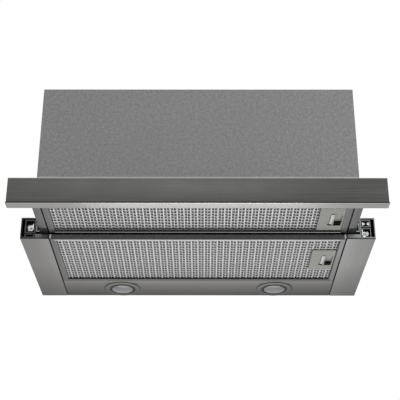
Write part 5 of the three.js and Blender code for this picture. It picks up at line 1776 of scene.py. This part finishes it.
        # Painted light and shade on the frame: its front walls get the shaded copy; on the rear filter the
        # front and right strips get lit copies and its edges and gaps are painted dark as shade; on the front
        # filter the rear strip gets a painted highlight.
        tone(bars, FRAME_SHADED, y=(-END, start + 0.5), ny=(-END, -0.8))
        if name == "rear":
            tone(bars, FRAME_LIT, y=(-END, front), nz=down)
            tone(bars, DARK_STEEL_AND_SHADE, y=(-END, start + 3.2), nz=(-END, -0.3))
            tone(bars, MESH_ALUMINIUM_REAR_SHADED, y=(start + 5.6, front), nz=down)
            tone(bars, FRAME_SIDE_LIT, x=(inner, END), nz=down)
            tone(bars, PAINTED_SHADE, y=(rear - 0.1, rear + 2.6), nz=(-END, 0.1))
            tone(bars, DARK_STEEL_AND_SHADE, x=(inner, inner + 2.6), nz=(-END, 0.1))
            tone(bars, PAINTED_SHADE, away=(self.high[0] - 1.1, END))
            piece("rear_frame_corners", self.corners(), LIP_HIGHLIGHT, body, "", 0.15)
        else:
            tone(bars, BRIGHT_STEEL_AND_HIGHLIGHT, y=(rear, END), nz=(-END, -0.7))
        face = MeshPattern(middle=self.row_middle).sheet(x, y, self.low[2] + 2.3, hole)
        # The front filter's mesh is painted to fall nearly to black at its rear as the base's shadow.
        mesh_finish = MESH_ALUMINIUM_REAR_SHADED if name == "rear" else TRAY_MESH_SHADED
        piece(f"{name}_face_mesh", face, mesh_finish, body, f"{name}_filter_mesh")
        coarse = MeshPattern(12.2, 8.7, rib=0.0, strand=1.8, bar=2.4, apart=4.1, slant=-0.9, tilt=24.0)
        core = coarse.sheet(x, y, self.low[2] + 5.6, hole)
        # The inner mesh is painted near black as the shade inside the filter.
        piece(f"{name}_inner_mesh", core, CORE_IN_SHADE, body, f"{name}_filter_core")
        piece(f"{name}_latch_face", self.plate(), LATCH_PLASTIC, body, f"{name}_latch_plate", 0.0, 40)
        lip, slider, pocket = self.handle()
        mover = f"{name}_latch"
        tray = piece(f"{name}_latch_slider", slider, LATCH_PLASTIC, mover, f"{name}_latch_handle", 0.0, 40)
        right = self.window()[0][1] - 2.4
        # Painted light and shade on the latch: the window's inner wall is toned dark as shade, the lip is
        # painted light as a highlight, and the pocket with its strip is a dark piece standing for shade.
        tone(tray, DARK_PLASTIC_AND_SHADE, x=(right, END), nx=(-END, -0.4), z=(self.plate_low[2], END))
        piece(f"{name}_latch_lip", lip, LIP_HIGHLIGHT, mover, "", 0.0, 50)
        piece(f"{name}_latch_pocket_shade", pocket, PAINTED_SHADE, mover, "", 0.0, 40)
        coil = piece(f"{name}_latch_coil", self.spring(), BRIGHT_STEEL_AND_HIGHLIGHT, body, f"{name}_latch_spring")
        low, high = span(f"{name}_latch_spring")
        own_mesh(coil)


@dataclass
class PullOut:
    """The front bar, the tray that carries the front filter, its slides and the controls."""

    sheet: float = 1.0  # thickness of the bar's sheet
    fold: float = 1.3  # how far from its upper edge its fold starts
    seam: float = 0.5  # height of its seam over its lower edge
    seam_width: float = 1.5  # the seam's height
    seam_depth: float = 1.0  # the seam's depth
    rise: float = 1.6  # how far the bar stands over its CAD node
    end_step: float = 1.3  # how far its face ends before its foot
    drop: float = 0.6  # how far the bar reaches below its CAD node
    highlight_edge: float = 1.8  # width of the painted highlight along its underside's front edge

    def bar_box(self) -> tuple[np.ndarray, np.ndarray]:
        """The bar's lowest and highest corners, its edges a little past the CAD node's."""
        low, high = span("front_bar")
        return low - np.array([0, 0, self.drop]), high + np.array([0, 0, self.rise])

    def bar(self) -> Surface:
        """The folded bar: its cross-section drawn along x, with a plate let into each end.

        Returns:
            The bar.
        """
        low, high = self.bar_box()
        front, seam, t = low[1], low[2] + self.seam, self.sheet
        groove = front + self.seam_depth
        rear, above = high[1], seam + self.seam_width
        corners = [(rear, high[2]), (front, high[2]), (front, above), (groove, above)]
        upper = folded(corners, [self.fold, 0.12])
        inside = [(groove + t, above), (front + t, seam + 3 * self.seam_width)]
        face = np.concatenate([upper, inside, [(front + t, high[2] - t), (rear, high[2] - t)]])
        lower = folded([(groove, seam), (front, seam), (front, low[2]), (rear, low[2])], [0.1, 0.3])[:-1]
        lower = np.concatenate([lower, [(front + self.highlight_edge, low[2]), (rear, low[2])]])
        inside = [(rear, low[2] + t), (groove + t, low[2] + t), (groove + t, above + 0.2)]
        foot = np.concatenate([lower, inside, [(groove, above + 0.2)]])
        long = extruded(face, low[0] + self.end_step, high[0] - self.end_step, Axis.X)
        under = extruded(foot, low[0] + 0.1, high[0] - 0.1, Axis.X)
        tall = (low[2] + t + 0.15, high[2] - t - 0.15)
        plate = slab((front + t + 0.15, rear), tall, (0, t), 0.8, 0.25, 3)
        end = plate.laid(Axis.X).moved(x=high[0] - t - self.end_step - SEAT)
        return long.joined(under, end.mirrored(), end)

    def runner(self, side: int) -> Surface:
        """A slide runner's folded section drawn along y: a flat face with a stepped outer edge.

        Args:
            side: 1 for the right runner and -1 for the left one.

        Returns:
            The runner.
        """
        low, high = span("right_slide_runner")
        x0, x1, z0, z1 = low[0], high[0], low[2], high[2]
        bottom = np.array([
            (x0, z0 + 0.9), (x0 + 0.3, z0 + 0.25), (x0 + 1.0, z0), (x1 - 3.6, z0),
            (x1 - 3.2, z0 + 0.55), (x1 - 0.8, z0 + 0.55), (x1, z0 + 1.2), (x1, z0 + 2.2),
            (x0, z0 + 2.2),
        ])
        front, rear = low[1], span("right_slide_shoe")[0][1] - SEAT
        shapes = [extruded(bottom, front, rear, Axis.Y)]
        line = folded([(x0, z0 + 5.2), (x0, z1), (x1, z1), (x1, z0 + 5.2)], 1.2)
        shapes.append(extruded(sheet(line[::-1], 1.5), front, high[1], Axis.Y))
        walls = [slab((x, x + 1.5), (front, rear), (z0 + 1.8, z0 + 6), 0.3, 0.1, 2) for x in (x0, x1 - 1.5)]
        return merged([*shapes, *walls]).on(side)

    def top(self) -> Surface:
        """The tray's top plate with three long beads pressed down.

        Returns:
            The plate.
        """
        low, high = span("tray_top_plate")
        ends = ((100.0, 30), (200.0, 70), (200.0, 110))
        beads = [(-200.0, end, low[1] + place, -0.8) for end, place in ends]
        return pressed((low[0], high[0]), (low[1], high[1]), low[2], high[2] - low[2], beads)

    def cap(self, node: str) -> Surface:
        """A switch's cap: its skirt, and a hollowed grip with fine ribs across.

        Args:
            node: the switch's CAD node.

        Returns:
            The cap.
        """
        (x0, y0, z0), (x1, y1, z1) = span(node)
        shapes = [slab((x0, x1), (y0, y1), (z0, z0 + 1.2), 0.4, 0.15, 2)]
        shapes.append(slab((x0 + 1.2, x1 - 1.2), (y0 + 1, y1 - 1), (z0 + 1, z1 - 0.7), 1.0, 0.3, 3))
        inset, hollow = 2.2, 0.6
        for x in np.linspace(x0 + inset, x1 - inset, 6):
            dip = [hollow * math.sin(math.pi * reach / (x1 - x0)) for reach in (x - x0, inset)]
            heights = (z1 - 1.5, min(z1 - dip[0] + dip[1], z1))
            shapes.append(slab((x - 0.4, x + 0.4), (y0 + 1.2, y1 - 1.2), heights, 0.35, 0.15, 2))
        return merged(shapes)

    def screws(self) -> Surface:
        """Screw heads at the corners of the tray's top plate.

        Returns:
            The heads.
        """
        low, high = span("tray_top_plate")
        flat = screw_head(2.8, 1.3)
        heads = []
        for x in (low[0] + 7, high[0] - 7):
            heads += [flat.moved(x, y, high[2] + 0.05) for y in (low[1] + 8, high[1] - 60)]
        return merged(heads)

    def build(self) -> None:
        """Makes the pull-out's pieces."""
        bar = piece("bar_front", self.bar(), BAR_STEEL, "tray", "front_bar")
        low, high = self.bar_box()
        seam = low[2] + self.seam
        fold = high[2] - self.fold
        groove = seam + self.seam_width
        # Painted light and shade on the bar: its underside and top fold get the lit copy of its steel, the
        # underside's front edge a painted highlight, and the seam's groove is painted black as shade.
        tone(bar, BAR_LIT_STEEL, z=(-END, seam), nz=(-END, -0.95))
        tone(bar, BAR_LIT_STEEL, z=(fold, END), ny=(-END, -0.1))
        tone(bar, BAR_HIGHLIGHT, y=(-END, low[1] + self.highlight_edge), nz=(-END, -0.95))
        tone(bar, PAINTED_SHADE, y=(low[1] + 0.1, low[1] + 1.1), z=(seam - 0.2, groove + 0.2))
        dress("bar_carrier", DARK_STEEL_AND_SHADE, 0.4)
        dress("tray_frame", DARK_STEEL_AND_SHADE, 0.2)
        piece("tray_top", self.top(), TRAY_PAINT, "tray", "tray_top_plate", 0.2)
        piece("tray_screws", self.screws(), BRIGHT_STEEL_AND_HIGHLIGHT, "tray")
        for side, name in SIDES:
            runner = f"{name}_slide_runner"
            piece(f"{name}_runner_steel", self.runner(side), RUNNER_PAINT_AND_SHADE, "tray", runner, 0.15)
            dress(f"{name}_slide_shoe", BLACK_PLASTIC, 0.4)
        dress("control_plate", BLACK_PLASTIC, 0.4)
        for name in ("speed_switch", "light_switch"):
            piece(f"{name}_cap", self.cap(name), GREY_PLASTIC, name, name, 0.0, 40)


@dataclass
class Blower:
    """The scroll, the fan wheel and the motor, drawn about the wheel's axis along x."""

    blades: int = 56  # number of the wheel's blades
    blade: float = 11.0  # depth of a blade along the wheel's radius
    wall: float = 2.0  # thickness of the scroll
    inlet: float = 57.0  # radius of the scroll's two inlets
    grow: Range = (80.0, 95.0)  # the scroll's radius at its start and its end
    outlet: float = 10.0  # place of the outlet's rear wall behind the axis

    def placed(self, surface: Surface) -> Surface:
        """A shape drawn about the origin, moved to the wheel's axis."""
        return surface.moved(0.0, *centre_of("impeller")[1:])

    def wheel(self) -> Surface:
        """The fan wheel: curved blades between two rings, and a disc with its boss.

        A blade's line lies at radius inner + s depth and angle 0.17 s^1.8.

        Returns:
            The wheel.
        """
        low, high = span("impeller")
        radius = (high[1] - low[1]) / 2
        inner = radius - self.blade
        s = np.linspace(0, 1, 6)
        far, angle = inner + 0.5 + s * (self.blade - 1.2), 0.17 * s**1.8
        line = np.stack([far * np.cos(angle), far * np.sin(angle)], axis=1)
        blade = extruded(sheet(line, 0.7), low[0] + 1, high[0] - 1, Axis.X)
        shapes = [blade.turned("X", 360 * index / self.blades) for index in range(self.blades)]
        for end in (low[0], high[0] - 2.5):
            ring = [(inner, end + 0.5), (inner + 0.5, end), (radius - 0.5, end), (radius, end + 0.5)]
            ring += [(radius, end + 2), (radius - 0.5, end + 2.5), (inner + 0.5, end + 2.5), (inner, end + 2)]
            shapes.append(revolved(ring, 96, Axis.X))
        disc = [(4.4, -16), (9.4, -16), (10, -15.4), (10, -7), (12.5, -4)]
        disc += [(radius - 2, -4), (radius - 2, -2), (4.4, -2)]
        shapes.append(revolved(disc, 72, Axis.X))
        return self.placed(merged(shapes))

    def spiral(self, inset: float, top: float) -> np.ndarray:
        """The scroll's line from the top of its rear outlet wall round to the top of its front wall.

        Its radius grows with the angle from the outlet's foot, down and round to the front.

        Args:
            inset: how far inside the scroll's outer face the line lies.
            top: the level of its two ends.

        Returns:
            The line's y, z rows.
        """
        start, end = self.grow[0] - inset, self.grow[1] - inset
        rear = self.outlet - inset
        first = math.acos(rear / start)
        share = np.linspace(0, 1, 49)
        angle = first - share * (first + math.pi)
        radius = start + share * (end - start)
        curve = np.stack([radius * np.cos(angle), radius * np.sin(angle)], axis=1)
        return np.concatenate([[(rear, top)], curve, [(-end, top)]])

    def scroll(self, side: int) -> Surface:
        """Half of the scroll: its wall, its cheek with a rolled inlet, ribs, and a lip at the seam.

        Args:
            side: 1 for the right half and -1 for the left one.

        Returns:
            The half.
        """
        low, high = span("scroll_right")
        top = high[2] - centre_of("impeller")[2]
        line = self.spiral(0.0, top)
        near, far = low[0], high[0]
        around = np.concatenate([line, self.spiral(self.wall, top)[::-1]])
        shapes = [extruded(around, near, far - self.wall, Axis.X)]
        lip = line * (1 + 1.6 / np.linalg.norm(line, axis=1))[:, None]
        shapes.append(extruded(np.concatenate([line[2:-1], lip[2:-1][::-1]]), near, near + 2.5, Axis.X))
        loop = np.concatenate([line, [(x, top) for x in np.linspace(-self.grow[1], self.outlet, 9)[1:-1]]])
        circle = loop / np.linalg.norm(loop, axis=1)[:, None] * (self.inlet + 1.5)
        section = [(0, far - self.wall), (0, far - 0.5), (0.02, far), (1, far), (1, far - self.wall)]
        shapes.append(rim(loop, circle, section).laid(Axis.X))
        roll = arc((far - 3.0, self.inlet + 3.0), 3.0, 180, 270, 5)[:, ::-1]
        inside = [(self.inlet + 1.4, far - 6), (self.inlet + 1.8, far - 1.9)]
        mouth = np.concatenate([[(self.inlet + 4, far)], roll, inside])
        mouth[1:-2, 1] = far - 6 + (mouth[1:-2, 1] - mouth[1:-2, 1].min())
        shapes.append(revolved(mouth, 72, Axis.X))
        for turn in range(0, 360, 30):
            rib = slab((far - 1.0, far), (-0.8, 0.8), (self.inlet + 5, self.grow[0] - 6), 0.2, 0.15, 1)
            shapes.append(rib.turned("X", turn))
        return self.placed(merged(shapes)).on(side)

    def motor(self) -> Surface:
        """The motor: two end bells round a stack of thin plates, with four through bolts.

        Returns:
            The motor.
        """
        low, high = span("motor")
        radius = (high[1] - low[1]) / 2
        start, end = low[0], high[0]
        outline = [(4.4, start), (14, start), (15, start + 2), (radius - 8, start + 2)]
        outline += [(radius - 1.5, start + 7)]
        for level in np.arange(start + 14, end - 14, 2.0):
            outline += [(radius, level), (radius, level + 1.4)]
            outline += [(radius - 0.7, level + 1.5), (radius - 0.7, level + 1.9)]
        outline += [(radius - 1.5, end - 7), (radius - 8, end - 2), (15, end - 2), (14, end), (4.4, end)]
        shapes = [revolved(outline, 72, Axis.X)]
        for turn in (45, 135, 225, 315):
            bolt = revolved(rod_profile(2.0, start + 3, end - 3), 10, Axis.X).moved(y=radius - 4.5)
            nut = revolved(rod_profile(3.8, end - 6, end - 3), 6, Axis.X).moved(y=radius - 5)
            shapes += [bolt.turned("X", turn), nut.turned("X", turn)]
        return self.placed(merged(shapes))

    def bracket(self) -> Surface:
        """The motor's bracket: a ring, three waisted arms and a hub, each arm with its bush.

        An arm is half 6 - 1.6 sin(pi s) wide, with s from 0 at the hub to 1 at the ring.

        Returns:
            The bracket.
        """
        low, high = span("motor_bracket")
        start, end = low[0], high[0]
        outer = (high[1] - low[1]) / 2
        shapes = []
        for inner, far in ((self.inlet, outer), (4.6, 22.0)):
            ring = [(inner, start), (far - 0.4, start), (far, start + 0.4), (far, end), (inner, end)]
            shapes.append(revolved(ring, 72, Axis.X))
        share = np.linspace(0, 1, 9)
        half = 6 - 1.6 * np.sin(np.pi * share)
        reach = 20 + share * (self.inlet + 1 - 20)
        outline = np.concatenate([np.stack([half, reach], 1), np.stack([-half, reach], 1)[::-1]])
        arm = extruded(outline, start, end, Axis.X)
        bush = revolved(rod_profile(5.0, start, end + 0.1, 0.6), 24, Axis.X).moved(z=self.inlet + 4)
        for turn in (90, 210, 330):
            shapes += [arm.turned("X", turn), bush.turned("X", turn)]
        return self.placed(merged(shapes))

    def build(self) -> None:
        """Makes the blower's pieces."""
        for side, name in SIDES:
            piece(f"blower_{name}_scroll", self.scroll(side), BLACK_PLASTIC, "hood", f"scroll_{name}")
        piece("blower_motor", self.motor(), ZINC, "hood", "motor")
        piece("blower_bracket", self.bracket(), ZINC, "hood", "motor_bracket")
        piece("blower_wheel", self.wheel(), DARK_PLASTIC_AND_SHADE, "fan", "impeller")
        dress("motor_shaft", BRIGHT_STEEL_AND_HIGHLIGHT, 0.3)


@dataclass
class Electrics:
    """The capacitor, the terminal box, the gland and the tray's switch."""

    poles: int = 5  # number of the terminal strip's poles

    def capacitor(self) -> Surface:
        """The capacitor: a can with a crimped end, a stud behind and two tabs in front.

        Returns:
            The capacitor.
        """
        low, high = span("capacitor")
        radius = (high[0] - low[0]) / 2
        start, end = low[1] + 7, high[1] - 5
        outline = [(0, start + 1.5), (radius - 3, start + 1.5), (radius - 2.5, start), (radius - 0.6, start)]
        outline += [(radius, start + 0.8), (radius, start + 3), (radius - 1, start + 4)]
        outline += [(radius - 1, start + 5), (radius, start + 6), (radius, end - 1.5)]
        outline += [(radius - 1.5, end), (6, end), (4, high[1]), (0, high[1])]
        shapes = [revolved(outline, 48, Axis.Y)]
        tab = slab((-0.4, 0.4), (low[1], start + 2), (-3.2, 3.2), 0.2, 0.15, 1)
        shapes += [tab.moved(x) for x in (-5.5, 5.5)]
        band = [(radius - 0.2, 28), (radius + 0.05, 28), (radius + 0.05, 38), (radius - 0.2, 38)]
        shapes.append(revolved(band, 48, Axis.Y).moved(y=low[1]))
        x, _, z = centre_of("capacitor")
        return merged(shapes).moved(x=x, z=z)

    def box(self) -> Surface:
        """The terminal box: a drafted tub, open above, with ribs and its terminal strip inside.

        Returns:
            The box.
        """
        (x0, y0, z0), (x1, y1, z1) = span("terminal_box")
        outer = rounded_rectangle((x0, x1), (y0, y1), 4, 5)
        inner = rounded_rectangle((x0 + 2, x1 - 2), (y0 + 2, y1 - 2), 2.6, 5)
        wall = rim(outer, inner, [(0, z1), (0, z0 + 1.5), (0.4, z0 + 0.4), (1, z0), (1, z1)])
        shapes = [wall, slab((x0 + 1.5, x1 - 1.5), (y0 + 1.5, y1 - 1.5), (z0, z0 + 2), 2.6, 0.3)]
        middle = (y0 + y1) / 2
        for x in np.linspace(x0 + 12, x1 - 12, self.poles):
            block = slab((x - 4.6, x + 4.6), (middle - 9, middle + 9), (z0 + 1.8, z0 + 14), 1.2, 0.5, 3)
            rib = slab((x - 0.7, x + 0.7), (y0 + 4, y1 - 4), (z0 - 0.1, z0 + 0.3), 0.4, 0.1, 1)
            shapes += [block, screw_head(2.4, 0.9).moved(x, middle, z0 + 14.1), rib]
        return merged(shapes)

    def gland(self) -> Surface:
        """The lead's gland: a threaded sleeve, a hexagonal nut below the panel and one above.

        Returns:
            The gland.
        """
        low, high = span("cable_gland")
        panel = span("top_panel")[1][2]
        radius = (high[0] - low[0]) / 2
        bore, neck = 4.6, radius - 3.4
        outline = [(bore, low[2]), (neck - 0.8, low[2])]
        for level in np.arange(low[2] + 0.5, panel + 5, 1.5):
            outline += [(neck, level + 0.4), (neck - 0.8, level + 1.1)]
        outline += [(neck, high[2] - 7), (neck - 0.6, high[2] - 3), (bore + 2, high[2]), (bore, high[2])]
        shapes = [revolved(outline, 36)]
        for start, end in ((low[2], low[2] + 5), (panel + SEAT, panel + SEAT + 5)):
            nut = [(neck - 1, start), (radius - 0.8, start), (radius, start + 0.7)]
            nut += [(radius, end - 0.7), (radius - 0.8, end), (neck - 1, end)]
            shapes.append(revolved(nut, 6))
        return merged(shapes).moved(*centre_of("cable_gland")[:2])

    def switch(self) -> Surface:
        """The tray's switch: a moulded case with a guide round its plunger, rivets and two tabs.

        Returns:
            The switch.
        """
        (x0, y0, z0), (x1, y1, z1) = span("micro_switch")
        (px0, _, pz0), (px1, _, pz1) = span("switch_plunger")
        case = slab((x0, x1), (y0 + 3.4, y1), (z0, z1), 0.6, 0.3, 2)
        hole = [(px0 - SEAT, px1 + SEAT), (pz0 - SEAT, pz1 + SEAT)]
        outer = rounded_rectangle((x0 + 0.4, x1 - 0.2), (z0 + 0.6, z1 - 0.6), 1.0, 3)
        section = [(0, y0 + 0.6), (0.2, y0), (1, y0), (1, y0 + 3.8), (0, y0 + 3.8)]
        guide = rim(outer, rounded_rectangle(*hole, 0.3, 3), section)
        shapes = [case, guide.laid(Axis.Y)]
        for x in (x0 + 3, x1 - 3):
            rivet = revolved(rod_profile(1.1, z0 - 0.25, z0 + 0.4, 0.2), 16)
            shapes.append(rivet.moved(x, y1 - 3.5, 0))
        return merged(shapes)

    def build(self) -> None:
        """Makes the electrical pieces."""
        piece("run_capacitor", self.capacitor(), GREY_PLASTIC, "hood", "capacitor")
        piece("terminal_tub", self.box(), BLACK_PLASTIC, "hood", "terminal_box")
        piece("lead_gland", self.gland(), BLACK_PLASTIC, "hood", "cable_gland")
        piece("tray_switch", self.switch(), BLACK_PLASTIC, "hood", "micro_switch")
        dress("switch_plunger", GREY_PLASTIC, 0.3)


# ---------------------------------------------------------------- the room


@dataclass
class Studio:
    """The camera at the photograph's place, the lights, the white surroundings and the floor."""

    # The camera's place, in millimetres.
    camera_place: tuple[float, float, float] = (9.18, -1523.52, -722.27)
    pitch: float = 0.46048  # its tilt above the level, in radians
    yaw: float = -0.00369  # its turn to the right, in radians
    roll: float = 0.00242  # its turn about its own axis, in radians
    lens: float = 89.508  # focal length for a 36 mm wide sensor
    floor_level: float = -2400.0  # height of the floor, in millimetres
    floor_radius: float = 9000.0  # radius of the floor, in millimetres
    sky: float = 0.62  # strength of the white surroundings as light

    def camera(self) -> None:
        """Makes the camera: its axes are forward f, right r and up u, with r and u turned by roll."""
        level = math.cos(self.pitch)
        forward = Vector((math.sin(self.yaw) * level, math.cos(self.yaw) * level, math.sin(self.pitch)))
        right = Vector((math.cos(self.yaw), -math.sin(self.yaw), 0.0))
        up = right.cross(forward)
        side = math.cos(self.roll) * right + math.sin(self.roll) * up
        top = math.cos(self.roll) * up - math.sin(self.roll) * right
        camera = bpy.data.objects.new("camera", bpy.data.cameras.new("camera"))
        camera.data.lens, camera.data.sensor_width = self.lens, 36.0
        camera.data.clip_start, camera.data.clip_end = 0.02, 60.0
        turn = Matrix((side, top, -forward)).transposed().to_4x4()
        camera.matrix_world = Matrix.Translation(Vector(self.camera_place) / MM) @ turn
        bpy.context.scene.collection.objects.link(camera)
        bpy.context.scene.camera = camera

    def world(self) -> None:
        """A grey-white sky that the camera, metal and glass see as white."""
        world = bpy.data.worlds.new("studio")
        world.use_nodes = True
        tree = Tree(world.node_tree)
        sky = world.node_tree.nodes["Background"]
        tree.feed(sky, Color=(1, 1, 1, 1), Strength=tree.ranged(tree.seen(), 0.0, 1.0, (self.sky, 1.0)))
        bpy.context.scene.world = world

    def floor(self) -> None:
        """A wide round pale floor, far below the hood, that keeps its shadow."""
        angle = np.linspace(0, 2 * np.pi, 64, endpoint=False)
        ring = self.floor_radius * np.stack([np.cos(angle), np.sin(angle), 0 * angle], axis=1)
        ring[:, 2] = self.floor_level
        mesh = bpy.data.meshes.new("floor")
        mesh.from_pydata((ring / MM).tolist(), [], [list(range(64))])
        material = bpy.data.materials.new("pale_floor")
        material.use_nodes = True
        tree = Tree(material.node_tree)
        shader = material.node_tree.nodes["Principled BSDF"]
        tree.feed(shader, Base_Color=(0.86, 0.86, 0.86, 1), Roughness=0.8)
        glow = tree.add("ShaderNodeEmission")
        tree.feed(glow, Color=(1, 1, 1, 1), Strength=1.0)
        mix = tree.add("ShaderNodeMixShader")
        share = tree.calculate("MULTIPLY", tree.seen(), 0.6)
        for place, value in enumerate((share, shader.outputs[0], glow.outputs[0])):
            tree.put(value, mix.inputs[place])
        tree.put(mix.outputs[0], material.node_tree.nodes["Material Output"].inputs[0])
        mesh.materials.append(material)
        floor = bpy.data.objects.new("floor", mesh)
        bpy.context.scene.collection.objects.link(floor)

    def lamp(self, name: str, place: Vector, aim: Vector, size: Range, power: float) -> None:
        """An area light.

        Args:
            name: its name.
            place: where it stands, in metres.
            aim: the point it faces, in metres.
            size: its width and height, in metres.
            power: its power in watts.
        """
        light = bpy.data.lights.new(name, "AREA")
        light.shape = "RECTANGLE"
        light.size, light.size_y = size
        light.energy = power
        lamp = bpy.data.objects.new(name, light)
        lamp.location = place
        lamp.rotation_euler = (aim - place).to_track_quat("-Z", "Y").to_euler()
        bpy.context.scene.collection.objects.link(lamp)

    def build(self) -> None:
        """Makes the camera, the light and the floor."""
        self.camera()
        self.world()
        self.floor()
        self.lamp("key", Vector((-0.15, -2.4, 1.35)), Vector((0, 0, 0.05)), (1.2, 0.8), 5.0)
        self.lamp("fill", Vector((1.0, -0.85, 0.45)), Vector((0.1, 0, 0.1)), (0.8, 0.7), 4.2)
        self.lamp("under", Vector((0.0, 2.2, -1.4)), Vector((0, -0.2, -0.04)), (0.97, 0.2), 2.08)
        bpy.context.scene.view_settings.view_transform = "Standard"


def main() -> None:
    """Builds the hood's looks sub-assembly by sub-assembly."""
    logging.basicConfig(level=logging.INFO, format="%(name)s %(message)s")
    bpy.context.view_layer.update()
    Studio().build()
    Body().build()
    Outlet().build()
    Blower().build()
    Electrics().build()
    for side, name in SIDES:
        SideBlock(side, name).build()
    Lamps().build()
    GreaseFilter("rear", 10.2, 9.8, 26.6).build()
    GreaseFilter("front", 8.0, 2.9, -81.2).build()
    PullOut().build()


if __name__ == "__main__":
    main()
